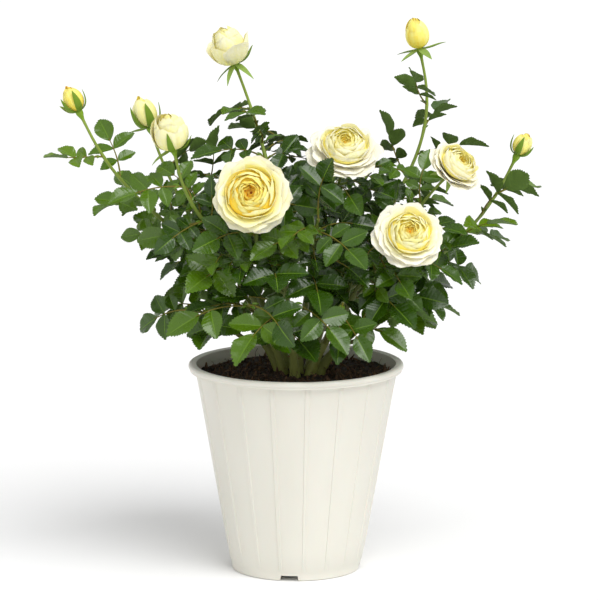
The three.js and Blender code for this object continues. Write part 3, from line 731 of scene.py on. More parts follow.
@dataclass
class Scatter:
    """A Geometry Nodes tree that strews copies of an item over a surface."""

    name: str
    random_turns: bool
    group: bpy.types.NodeTree = field(init=False)
    sockets: dict[str, str] = field(init=False)

    def __post_init__(self) -> None:
        """Builds the tree with its named inputs."""
        self.group = bpy.data.node_groups.new(self.name, "GeometryNodeTree")
        interface = self.group.interface
        kinds = {"Surface": "Geometry", "Item": "Object", "Density": "Float", "Seed": "Int",
                 "Smallest": "Float", "Largest": "Float", "Finish": "Material"}
        self.sockets = {
            label: interface.new_socket(label, in_out="INPUT", socket_type=f"NodeSocket{kind}").identifier
            for label, kind in kinds.items()
        }
        interface.new_socket("Pieces", in_out="OUTPUT", socket_type="NodeSocketGeometry")
        nodes = self.group.nodes
        link_up = self.group.links.new
        given = nodes.new("NodeGroupInput").outputs
        spots = nodes.new("GeometryNodeDistributePointsOnFaces")
        item = nodes.new("GeometryNodeObjectInfo")
        place = nodes.new("GeometryNodeInstanceOnPoints")
        size = nodes.new("FunctionNodeRandomValue")
        real = nodes.new("GeometryNodeRealizeInstances")
        finish = nodes.new("GeometryNodeSetMaterial")
        for label, node, socket in (
                ("Surface", spots, "Mesh"), ("Density", spots, "Density"), ("Seed", spots, "Seed"),
                ("Item", item, "Object"), ("Smallest", size, 2), ("Largest", size, 3),
                ("Seed", size, "Seed"), ("Finish", finish, "Material")):
            link_up(given[label], node.inputs[socket])
        link_up(spots.outputs["Points"], place.inputs["Points"])
        link_up(item.outputs["Geometry"], place.inputs["Instance"])
        link_up(size.outputs[1], place.inputs["Scale"])
        if self.random_turns:
            turn = nodes.new("FunctionNodeRandomValue")
            turn.data_type = "FLOAT_VECTOR"
            turn.inputs[1].default_value = (2 * math.pi,) * 3
            link_up(given["Seed"], turn.inputs["Seed"])
            link_up(turn.outputs[0], place.inputs["Rotation"])
        else:
            link_up(spots.outputs["Rotation"], place.inputs["Rotation"])
        link_up(place.outputs["Instances"], real.inputs["Geometry"])
        link_up(real.outputs["Geometry"], finish.inputs["Geometry"])
        link_up(finish.outputs["Geometry"], nodes.new("NodeGroupOutput").inputs["Pieces"])

    def strew(self, name: str, surface: Object, item: Object, density: float,
              sizes: Range, seed: int, finish: Material) -> Object:
        """Strews an item over a surface as one plain mesh, and removes the item.

        Args:
            name: the new object's name.
            surface: the object whose faces the copies stand on.
            item: what is copied, with its foot at the origin.
            density: copies in each square metre.
            sizes: the smallest and largest scale.
            seed: of the places, turns and sizes.
            finish: the copies' material.

        Returns:
            The new object.
        """
        modifier = surface.modifiers.new(self.name, "NODES")
        modifier.node_group = self.group
        values = {"Item": item, "Density": density, "Seed": seed, "Smallest": sizes[0],
                  "Largest": sizes[1], "Finish": finish}
        for label, value in values.items():
            modifier[self.sockets[label]] = value
        mesh = as_modified(surface)
        surface.modifiers.remove(modifier)
        mesh.name = name
        mesh.shade_smooth()
        bpy.data.objects.remove(item)
        return link(name, mesh)


# ---- the rule of growth


class Kind(Enum):
    """How far a flower has opened."""

    OPEN = "open"
    HALF_OPEN = "half_open"
    BUD = "bud"


@dataclass(frozen=True)
class PotSize:
    """The pot's sizes in millimetres. Phases and the ribs' half width are in degrees."""

    height: float = 210.0
    foot_radius: float = 64.5
    foot_band: float = 9.0
    band_step: float = 0.8
    wall_top_radius: float = 100.5
    lip_radius: float = 108.0
    lip_height: float = 8.0
    wall: float = 1.8
    floor: float = 8.0
    ribs: int = 18
    rib_phase: float = 6.5
    rib_half_width: float = 1.5
    rib_height: float = 0.75
    drains: int = 4
    drain_width: float = 21.0
    drain_height: float = 5.5
    drain_length: float = 30.0
    drain_phase: float = -6.0
    hole_radius: float = 4.5
    soil_top: float = 200.0

    def inner_radius(self, height: float) -> float:
        """The inner wall's radius at a height."""
        slope = (self.wall_top_radius - self.foot_radius) / (self.height - self.lip_height)
        return self.foot_radius + slope * height - self.wall


POT = PotSize()
SEATING_GAP = 0.3


@dataclass(frozen=True)
class StemSize:
    """A green shoot's stem."""

    start_radius: float = 2.3
    tip_radius: float = 1.4
    nod: float = 0.35
    start_pull: float = 0.36
    open_pull: float = 0.22
    end_pull: float = 0.42


STEM = StemSize()


@dataclass(frozen=True)
class LeafRule:
    """How a compound leaf is laid out, in shares of its end leaflet's length and in degrees.

    The rest are in millimetres: how far out its outward direction is measured, and where and over
    what depth its face turns from the front to the back.
    """

    divergence: float = 137.5
    rise: float = 58.0
    stalk: float = 1.46
    pair_places: tuple[float, ...] = (0.48, 0.79)
    pair_sizes: tuple[float, ...] = (0.64, 0.84)
    pair_angles: tuple[float, ...] = (82.0, 72.0)
    fold: float = 0.1
    tip_droop: float = 0.12
    droop: float = 0.75
    spread: float = 0.4
    face_out: float = 0.5
    face_side: float = 1.0
    outreach: float = 40.0
    middle: float = 30.0
    turn_over: float = 30.0


LEAF = LeafRule()


@dataclass(frozen=True)
class RoomRule:
    """How far leaves keep from what is there, in millimetres, and the turns to try, in degrees."""

    leaf: float = 2.4
    own_leaf: float = 1.6
    stem: float = 1.2
    tries: tuple[float, ...] = (0, 32, -32, 64, -64, 96, -96)
    shrink: float = 0.04
    floor: float = POT.height + 20.0


SOURCE_ROOM = RoomRule()
FINE_ROOM = RoomRule(leaf=1.1, own_leaf=1.0, stem=0.9, tries=(0, 40, -40, 80, -80, 120, -120, 160),
                     shrink=0.02, floor=POT.height + 18.0)


@dataclass
class Cane:
    """A woody stem from the compost to its fork."""

    name: str
    foot: Point2
    fork: Point
    radii: Range
    curve: Bezier = field(init=False)

    RISE = 0.5

    def __post_init__(self) -> None:
        """Works out the cane's curve, which leaves the compost more upright than it goes on."""
        foot = np.array((*self.foot, POT.soil_top + SEATING_GAP))
        fork = np.array(self.fork, float)
        lean = unit(fork - foot)
        self.curve = arch(foot, unit(lean + UP * self.RISE), fork, lean)


@dataclass(frozen=True)
class Flower:
    """A flower's kind, place and size, and the look of its own."""

    kind: Kind
    radius: float
    centre: Point
    axis: Point
    gold: float = 0.0
    cup: float = 0.0
    seed: int = 1
    flare: float = 0.0
    sepals: tuple[float, ...] = (1.1, 1.3, 1.0, 1.2, 1.1)

    STALK = 15.0
    HIP_LENGTH = 7.0
    CENTRE_HEIGHTS = {Kind.OPEN: 0.4, Kind.HALF_OPEN: 0.8, Kind.BUD: 1.2}

    @property
    def axes(self) -> Array:
        """The flower's own axes as rows, the last one along its axis."""
        w = unit(np.array(self.axis, float))
        u = unit(np.cross(UP, w))
        return np.array([u, np.cross(w, u), w])

    @property
    def hip_top(self) -> Array:
        """The middle of the hip's top."""
        below = self.CENTRE_HEIGHTS[self.kind] * self.radius
        return np.array(self.centre, float) - self.axes[2] * below

    @property
    def foot(self) -> Array:
        """Where the shoot ends and the flower's stalk starts."""
        return self.hip_top - self.axes[2] * (self.STALK + self.HIP_LENGTH)

    def place(self, local: Array) -> Array:
        """Points in the flower's own axes, from its hip's top, as points of the bush."""
        return self.hip_top + (local.reshape(-1, 3) @ self.axes).reshape(local.shape)


@dataclass
class Shoot:
    """A green stem with its leaves, and a flower where it has one."""

    name: str
    cane: str
    at: float
    leaves: int
    phase: float
    size: Range
    tip: "Point | None" = None
    flower: "Flower | None" = None
    first: float = 0.3
    divergence: float = LEAF.divergence
    droop: float = LEAF.droop
    number: int = 0
    curve: "Bezier | None" = None
    random: "Random | None" = None
    grown: "list[Leaf]" = field(default_factory=list)

    LAST_LEAF = {Kind.OPEN: 0.78, Kind.HALF_OPEN: 0.88, Kind.BUD: 0.88}

    @property
    def last(self) -> float:
        """Where its last leaf springs from, as a share of its stem."""
        return self.LAST_LEAF[self.flower.kind] if self.flower else 1.0


@dataclass(frozen=True)
class Leaflet:
    """One blade of a compound leaf: its root, its length and its own axes."""

    root: Array
    length: float
    along: Array
    normal: Array

    # Places that stand for a leaflet when room is looked for: share along it, share across it.
    ROWS = ((0.15, 0.18), (0.35, 0.3), (0.55, 0.3), (0.78, 0.18))
    SIDES = (-1.0, -0.5, 0.0, 0.5, 1.0)

    @classmethod
    def facing(cls, root: Array, length: float, direction: Array, face: Array) -> "Leaflet":
        """A leaflet along a direction whose upper side faces as nearly as it can one way."""
        along = unit(direction)
        return cls(root, length, along, unit(face - along * face.dot(along)))

    @property
    def across(self) -> Array:
        """The direction across the blade."""
        return np.cross(self.along, self.normal)

    def turned(self, roll: float, pitch: float) -> "Leaflet":
        """The leaflet rolled about its midrib and pitched about its root, in radians."""
        along = turned(self.along, self.across, pitch)
        return Leaflet.facing(self.root, self.length, along, turned(self.normal, self.along, roll))

    def place(self, shares: Array) -> Array:
        """Points of the blade from shares of its length along, across and up."""
        axes = np.array([self.along, self.across, self.normal]) * self.length
        return self.root + (shares.reshape(-1, 3) @ axes).reshape(shares.shape)

    def samples(self) -> Array:
        """The points that stand for the leaflet when room is looked for."""
        shares = [(along, side * across, abs(side) * LEAF.fold)
                  for along, across in self.ROWS for side in self.SIDES]
        return self.place(np.array([*shares, (1.0, 0.0, -LEAF.tip_droop)]))


@dataclass
class Leaf:
    """A compound leaf: its stalk, and the leaflets that found room."""

    stalk: Bezier
    end: Leaflet
    sides: list[Leaflet]

    @classmethod
    def lay_out(cls, start: Array, stem: Array, droop: float, heading: float, size: float,
                tilt: float) -> "Leaf":
        """A whole leaf.

        Args:
            start: where it springs from its stem's middle line.
            stem: the stem's direction there.
            droop: how far its stalk bends down in its outer half.
            heading: the way that it leaves the stem, in degrees from +X.
            size: its end leaflet's length.
            tilt: how far its face is turned about its stalk, in radians.

        Returns:
            The leaf with all its leaflets.
        """
        turn = math.radians(heading)
        side = np.array((math.cos(turn), math.sin(turn), 0.0))
        side = unit(side - stem * side.dot(stem))
        outward = start + side * LEAF.outreach
        outward = unit(np.array((outward[0], outward[1], 0.0)))
        rise = math.radians(LEAF.rise)
        rising = stem * math.cos(rise) + side * math.sin(rise)
        falling = unit(rising - UP * droop + outward * LEAF.spread)
        half = size * LEAF.stalk / 2
        knee = start + rising * half
        end = knee + falling * half
        stalk = Bezier(np.array([start, knee, end]))
        frontness = min(max((LEAF.middle - start[1]) / LEAF.turn_over, -1), 1)
        face = unit(UP + outward * LEAF.face_out + FRONT * LEAF.face_side * frontness)
        face = turned(face, falling, tilt)
        last = Leaflet.facing(end, size, falling, face)
        sides = []
        for place, share, angle in zip(LEAF.pair_places, LEAF.pair_sizes, LEAF.pair_angles):
            for hand in (1, -1):
                direction = turned(last.along, last.normal, -hand * math.radians(angle))
                sides.append(Leaflet.facing(stalk.point(place), size * share, direction, face))
        return cls(stalk, last, sides)

    @property
    def leaflets(self) -> list[Leaflet]:
        """All the leaflets."""
        return [self.end, *self.sides]


class Room:
    """Sample points that are taken, so that no leaf grows into another limb, leaf or bloom."""

    CAPACITY = 60000
    REACH = 12.0
    STEM_ITSELF = -1

    def __init__(self) -> None:
        """Starts empty."""
        self.size = 0
        self.points = np.zeros((self.CAPACITY, 3))
        self.radii = np.zeros(self.CAPACITY)
        self.owners = np.zeros(self.CAPACITY, int)
        self.leaves = np.zeros(self.CAPACITY, int)
        self.balls: list[tuple[Array, float]] = []

    def take(self, points: Array, radius: float, owner: int, leaf: int) -> None:
        """Marks points as taken.

        Args:
            points: the points.
            radius: what they keep round them.
            owner: the number of their limb.
            leaf: the leaf's own number there, or STEM_ITSELF.
        """
        end = self.size + len(points)
        part = slice(self.size, end)
        self.points[part] = points
        self.radii[part] = radius
        self.owners[part] = owner
        self.leaves[part] = leaf
        self.size = end

    def is_free(self, points: Array, radius: float, owner: int, leaf: int, rule: RoomRule) -> bool:
        """Whether points of a leaf keep far enough from all that is taken.

        Args:
            points: the leaf's points.
            radius: what they keep round them.
            owner: the number of the leaf's shoot.
            leaf: the leaf's own number there.
            rule: how far leaves of one shoot keep from each other, and the lowest height.

        Returns:
            True if there is room.
        """
        if (points[:, 2] < rule.floor).any():
            return False
        for centre, ball in self.balls:
            if (np.linalg.norm(points - centre, axis=1) < ball + radius).any():
                return False
        taken = self.points[:self.size]
        low, high = points.min(0) - self.REACH, points.max(0) + self.REACH
        near = ((taken >= low) & (taken <= high)).all(1)
        own = self.owners[:self.size] == owner
        leaves = self.leaves[:self.size]
        near &= ~(own & ((leaves == leaf) | (leaves == self.STEM_ITSELF)))
        chosen = np.nonzero(near)[0]
        if not len(chosen):
            return True
        kept = np.where(own[chosen], rule.own_leaf * 2, radius + self.radii[chosen])
        gaps = ((points[:, None] - taken[chosen][None]) ** 2).sum(-1)
        return bool((gaps >= kept**2).all())


@dataclass
class Growth:
    """The whole bush's limbs and leaves, grown by one rule."""

    canes: dict[str, Cane]
    shoots: list[Shoot]
    room: Room = field(default_factory=Room)

    FIRST_SEED = 1000
    SEED_STEP = 77
    HEADING_SPREAD = 12.0
    SIZE_SPREAD = 0.08
    TILT_SPREAD = 0.4
    SIDE_LEAN = 0.75
    SIDE_SEAT = 0.65
    CANE_SAMPLES = 41
    SHOOT_SAMPLES = 51
    STALK_SHARES = np.arange(2, 9) / 8
    BUD_BALL = 1.3
    BLOOM_BALL = 1.02

    def __post_init__(self) -> None:
        """Works out every shoot's curve and marks the limbs and flowers as taken."""
        for number, shoot in enumerate(self.shoots):
            self.plan(shoot, number)
        for number, cane in enumerate(self.canes.values()):
            points = cane.curve.points(np.linspace(0, 1, self.CANE_SAMPLES))
            self.room.take(points, cane.radii[0] + SOURCE_ROOM.stem, -1 - number, Room.STEM_ITSELF)
        for shoot in self.shoots:
            points = shoot.curve.points(np.linspace(0, 1, self.SHOOT_SAMPLES))
            radius = STEM.start_radius + SOURCE_ROOM.stem
            self.room.take(points, radius, shoot.number, Room.STEM_ITSELF)
            if shoot.flower:
                share = self.BUD_BALL if shoot.flower.kind is Kind.BUD else self.BLOOM_BALL
                self.room.balls.append((np.array(shoot.flower.centre), shoot.flower.radius * share))

    def plan(self, shoot: Shoot, number: int) -> None:
        """Gives a shoot its curve and its own random numbers.

        Args:
            shoot: the shoot.
            number: its place in the order of growth.
        """
        cane = self.canes[shoot.cane]
        end = shoot.flower.foot if shoot.flower else np.array(shoot.tip, float)
        point = cane.curve.point(shoot.at)
        tangent = cane.curve.tangent(shoot.at)
        if shoot.at == 1:
            start, direction = point + tangent * SEATING_GAP, tangent
        else:
            side = end - point
            side = unit(side - tangent * side.dot(tangent))
            radius = mix(*cane.radii, shoot.at)
            direction = unit(side + tangent * self.SIDE_LEAN)
            start = point + side * (radius + SEATING_GAP + STEM.start_radius * self.SIDE_SEAT)
        arriving = unit(unit(end - start) - UP * STEM.nod)
        pull = STEM.end_pull
        if shoot.flower:
            arriving = shoot.flower.axes[2]
            pull = STEM.open_pull if shoot.flower.kind is Kind.OPEN else STEM.end_pull
        shoot.number = number
        shoot.curve = arch(start, direction, end, arriving, STEM.start_pull, pull)
        shoot.random = Random(self.FIRST_SEED + number * self.SEED_STEP)

    def try_leaf(self, shoot: Shoot, index: int, start: Array, stem: Array, heading: float,
                 size: float, tilt: float, rule: RoomRule, fewest: int = 0) -> "Leaf | None":
        """Grows the leaf that finds most room, turning further round the stem with each try.

        Args:
            shoot: the leaf's shoot.
            index: the leaf's own number there.
            start: where the leaf springs from.
            stem: the stem's direction there.
            heading: the first way to try.
            size: its end leaflet's length.
            tilt: how far its face is turned.
            rule: how much room it needs.
            fewest: a leaf with fewer side leaflets than this isn't grown.

        Returns:
            The leaf, or None if there was no room.
        """
        best = None
        owner = shoot.number
        whole = len(LEAF.pair_places) * 2
        for attempt, turn in enumerate(rule.tries):
            if best and len(best.sides) == whole:
                break
            tried = size * (1 - rule.shrink * attempt)
            leaf = Leaf.lay_out(start, stem, shoot.droop, heading + turn, tried, tilt)
            stalk = leaf.stalk.points(self.STALK_SHARES)
            if not (self.room.is_free(stalk, rule.stem, owner, index, rule)
                    and self.room.is_free(leaf.end.samples(), rule.leaf, owner, index, rule)):
                continue
            leaf.sides = [leaflet for leaflet in leaf.sides
                          if self.room.is_free(leaflet.samples(), rule.leaf, owner, index, rule)]
            if len(leaf.sides) >= fewest and (not best or len(leaf.sides) > len(best.sides)):
                best = leaf
        if best:
            self.room.take(best.stalk.points(self.STALK_SHARES), rule.stem, owner, index)
            for leaflet in best.leaflets:
                self.room.take(leaflet.samples(), rule.leaf, owner, index)
        return best

    def grow_main(self) -> None:
        """Grows the leaves that the solids have, each shoot's next leaf in turn."""
        for index in range(max(shoot.leaves for shoot in self.shoots)):
            for shoot in self.shoots:
                if index < shoot.leaves:
                    self.grow_one(shoot, index)

    def grow_one(self, shoot: Shoot, index: int) -> None:
        """Grows one leaf, if it finds room.

        Args:
            shoot: the leaf's shoot.
            index: its number there, counted from the foot.
        """
        share = index / (shoot.leaves - 1) if shoot.leaves > 1 else 1
        at = mix(shoot.first, shoot.last, share)
        heading = shoot.phase + index * shoot.divergence + shoot.random.spread(self.HEADING_SPREAD)
        size = mix(*shoot.size, share) * (1 + shoot.random.spread(self.SIZE_SPREAD))
        tilt = shoot.random.spread(self.TILT_SPREAD)
        leaf = self.try_leaf(shoot, index, shoot.curve.point(at), shoot.curve.tangent(at),
                             heading, size, tilt, SOURCE_ROOM)
        if leaf:
            shoot.grown.append(leaf)


@dataclass
class Twig:
    """A finer side twig with its own few leaves."""

    curve: Bezier
    leaves: list[Leaf]


@dataclass
class Finer:
    """The second round of growth: small leaves between the main ones, and leafy side twigs.

    Leaf sizes are shares of the shoot's last leaf, and first, end_margin and twig_places are shares
    of its stem. The twigs' length, lift and room, and the crown's dense core, are in millimetres.
    """

    growth: Growth
    seed: int = 41
    first: float = 0.12
    end_margin: float = 0.06
    leaf_size: float = 0.72
    leaf_spread: float = 0.12
    tilt_spread: float = 0.5
    twig_places: tuple[float, float, int] = (0.15, 0.8, 5)
    twig_length: Range = (26.0, 46.0)
    twig_lift: Range = (0.0, 8.0)
    twig_rise: float = 0.15
    twig_lean: float = 0.6
    twig_curl: float = 0.3
    twig_room: float = 1.0
    twig_leaves: int = 3
    twig_first: float = 0.35
    twig_leaf_size: float = 0.62
    twig_leaf_spread: float = 0.15
    core_centre: Point = (6.0, 10.0, 330.0)
    core_reach: Point = (135.0, 105.0, 112.0)
    funnel: Range = (215.0, 325.0)
    narrowest: float = 0.3
    twigs: list[Twig] = field(default_factory=list)

    FIRST_LEAF = 100

    def in_core(self, point: Array) -> bool:
        """Whether a point lies in the dense middle of the crown, which narrows towards the canes."""
        offset = (point - np.array(self.core_centre)) / np.array(self.core_reach)
        low, high = self.funnel
        narrow = min(max((point[2] - low) / (high - low), self.narrowest), 1)
        return bool(math.hypot(offset[0] / narrow, offset[1] / narrow, offset[2]) < 1)

    def grow(self) -> None:
        """Grows both kinds on every shoot."""
        random = Random(self.seed)
        for shoot in self.growth.shoots:
            self.between(shoot, random)
        for shoot in self.growth.shoots:
            self.side_twigs(shoot, random)

    def between(self, shoot: Shoot, random: Random) -> None:
        """Grows small leaves between a shoot's main ones."""
        count = shoot.leaves * 2
        for i in range(count):
            at = mix(self.first, shoot.last - self.end_margin, (i + 0.5) / count)
            start = shoot.curve.point(at)
            size = shoot.size[1] * self.leaf_size * (1 + random.spread(self.leaf_spread))
            heading = random.next() * 360
            if not self.in_core(start):
                continue
            leaf = self.growth.try_leaf(shoot, self.FIRST_LEAF + i, start,
                                        shoot.curve.tangent(at), heading, size,
                                        random.spread(self.tilt_spread), FINE_ROOM)
            if leaf:
                shoot.grown.append(leaf)

    def side_twigs(self, shoot: Shoot, random: Random) -> None:
        """Grows leafy twigs out of a shoot's sides."""
        for i, at in enumerate(np.linspace(*self.twig_places)):
            start = shoot.curve.point(at)
            turn = random.next() * 2 * math.pi
            length = random.between(*self.twig_length)
            side = np.array((math.cos(turn), math.sin(turn), self.twig_rise))
            tangent = shoot.curve.tangent(at)
            side = unit(side - tangent * side.dot(tangent))
            leaving = unit(side + tangent * self.twig_lean)
            end = start + leaving * length + UP * random.between(*self.twig_lift)
            if not (self.in_core(start) and self.in_core(end)):
                continue
            curve = arch(start, leaving, end, unit(leaving + UP * self.twig_curl))
            body = curve.points(np.linspace(0.25, 1, 8))
            if not self.growth.room.is_free(body, self.twig_room, shoot.number, Room.STEM_ITSELF,
                                            FINE_ROOM):
                continue
            leaves = self.leaves_on(curve, shoot, i, random)
            if leaves:
                self.growth.room.take(body, self.twig_room, shoot.number, self.FIRST_LEAF * 2 + i)
                self.twigs.append(Twig(curve, leaves))

    def leaves_on(self, curve: Bezier, shoot: Shoot, twig: int, random: Random) -> list[Leaf]:
        """Grows a side twig's leaves.

        Args:
            curve: the twig's curve.
            shoot: the shoot that it grows from.
            twig: its number there.
            random: for what makes the leaves differ.

        Returns:
            Those that found room.
        """
        leaves = []
        for j in range(self.twig_leaves):
            at = mix(self.twig_first, 1.0, j / (self.twig_leaves - 1))
            size = shoot.size[1] * self.twig_leaf_size * (1 + random.spread(self.twig_leaf_spread))
            leaf = self.growth.try_leaf(
                shoot, self.FIRST_LEAF * (3 + twig) + j, curve.point(at), curve.tangent(at),
                random.next() * 360, size, random.spread(self.tilt_spread), FINE_ROOM, fewest=1)
            if leaf:
                leaves.append(leaf)
        return leaves


def make_canes() -> dict[str, Cane]:
    """The eight canes by name."""
    rows = [
        ("cane_left", (-17, 4), (-74, 8, 288), (4.2, 2.9)),
        ("cane_mid_left", (-12, -12), (-52, -24, 300), (3.8, 2.7)),
        ("cane_front", (-1, -24), (-12, -44, 306), (4.2, 2.9)),
        ("cane_centre", (2, -4), (16, 2, 316), (4.0, 2.8)),
        ("cane_mid_right", (14, -19), (58, -34, 286), (4.6, 3.0)),
        ("cane_right", (23, -4), (92, -2, 272), (4.8, 3.1)),
        ("cane_back_left", (-8, 19), (-46, 58, 286), (4.0, 2.8)),
        ("cane_back_right", (13, 15), (48, 58, 288), (4.2, 2.8)),
    ]
    return {row[0]: Cane(*row) for row in rows}


def make_shoots() -> list[Shoot]:
    """The flowering shoots and the leafy ones, in the order in which they grow."""
    opened, half, bud = Kind.OPEN, Kind.HALF_OPEN, Kind.BUD
    return [
        Shoot("front_left", "cane_front", 0.86, 4, 310, (37, 32), first=0.12,
              flower=Flower(opened, 38, (-43, -97, 394), (-0.06, -0.92, 0.36), gold=0.7, seed=3)),
        Shoot("top_centre", "cane_centre", 1, 5, 80, (36, 30), first=0.1,
              flower=Flower(opened, 35, (48, -32, 430), (0.08, -0.62, 0.78), gold=-0.7, cup=0.1, seed=5)),
        Shoot("front_right", "cane_mid_right", 1, 4, 300, (36, 30), first=0.12,
              flower=Flower(opened, 34, (110, -92, 354), (0.12, -0.82, 0.56), gold=-0.2, cup=0.05, seed=8)),
        Shoot("right", "cane_right", 0.8, 6, 0, (34, 29), first=0.12, divergence=180, droop=0.3,
              flower=Flower(opened, 29, (157, -58, 416), (0.55, -0.5, 0.67), gold=-0.6, cup=0.35, seed=11)),
        Shoot("top_left", "cane_front", 1, 8, 30, (35, 30), divergence=220,
              flower=Flower(half, 19, (-66, 30, 521), (-0.34, -0.1, 0.94), gold=0.4, seed=13, flare=1.5,
                            sepals=(1.5, 0.45, 1.1, 1.2, 1.3))),
        Shoot("left", "cane_mid_left", 1, 6, 240, (36, 31), first=0.1, droop=0.55,
              flower=Flower(half, 18, (-122, -76, 449), (-0.2, -0.22, 0.95), gold=0.5, seed=16, flare=0.1,
                            sepals=(0.35, 0.6, 1.2, 1.1, 0.05))),
        Shoot("far_left", "cane_left", 1, 7, 300, (34, 30), first=0.1, divergence=165, droop=0,
              flower=Flower(bud, 10, (-219, -30, 478), (-0.44, 0, 0.9), gold=1.9, seed=19,
                            sepals=(0.0, 0.12, 0.1, 0.45, 0.1))),
        Shoot("upper_left", "cane_mid_left", 0.84, 7, 180, (32, 28), first=0.1,
              flower=Flower(bud, 12, (-152, 40, 456), (-0.34, 0, 0.94), gold=0.6, seed=22,
                            sepals=(0.02, 0.18, 0.5, 0.9, 0.0))),
        Shoot("top_right", "cane_mid_right", 0.84, 9, 210, (34, 31), first=0.1, droop=0.1,
              flower=Flower(bud, 12, (121, 52, 534), (-0.2, 0, 0.98), gold=1.5, seed=25,
                            sepals=(1.4, 0.85, 1.0, 1.0, 1.2))),
        Shoot("far_right", "cane_right", 1, 7, 60, (36, 32), first=0.12, divergence=180, droop=0.35,
              flower=Flower(bud, 9, (227, 40, 424), (0.44, 0, 0.9), gold=1.4, seed=28,
                            sepals=(0.1, 0.12, 0.0, 0.2, 0.1))),
        Shoot("back_left", "cane_back_left", 1, 4, 60, (37, 30), first=0.12,
              flower=Flower(opened, 35, (-50, 138, 350), (-0.1, 0.8, 0.6), gold=0.2, seed=31)),
        Shoot("back_right", "cane_back_right", 0.86, 4, 10, (37, 30), first=0.12,
              flower=Flower(opened, 33, (104, 126, 326), (0.35, 0.72, 0.6), gold=-0.3, cup=0.15, seed=34)),
        Shoot("back_top", "cane_back_right", 1, 4, 160, (36, 28), first=0.12,
              flower=Flower(half, 18, (48, 118, 398), (0.05, 0.3, 0.95), seed=37)),
        Shoot("skirt_left", "cane_left", 0.34, 4, 155, (36, 36), (-104, -20, 266)),
        Shoot("skirt_front_left", "cane_mid_left", 0.4, 6, 335, (40, 36), (-46, -78, 282)),
        Shoot("skirt_front", "cane_front", 0.42, 4, 290, (42, 38), (-4, -88, 286)),
        Shoot("skirt_front_right", "cane_mid_right", 0.42, 4, 120, (42, 38), (46, -80, 284)),
        Shoot("skirt_right", "cane_right", 0.42, 3, 270, (36, 34), (112, -34, 270)),
        Shoot("skirt_back_right", "cane_back_right", 0.44, 4, 60, (40, 36), (70, 70, 272)),
        Shoot("skirt_back_left", "cane_back_left", 0.44, 4, 195, (40, 36), (-62, 72, 274)),
        Shoot("middle_left", "cane_left", 0.8, 4, 150, (36, 32), (-92, 36, 372), divergence=180, droop=0.55),
        Shoot("middle_front", "cane_centre", 0.62, 5, 250, (40, 34), (22, -72, 366), first=0.4),
        Shoot("middle_right", "cane_centre", 0.8, 4, 320, (36, 32), (78, 22, 404)),
        Shoot("middle_back", "cane_back_left", 0.84, 4, 105, (36, 32), (-14, 66, 424)),
    ]


# ---- the pot


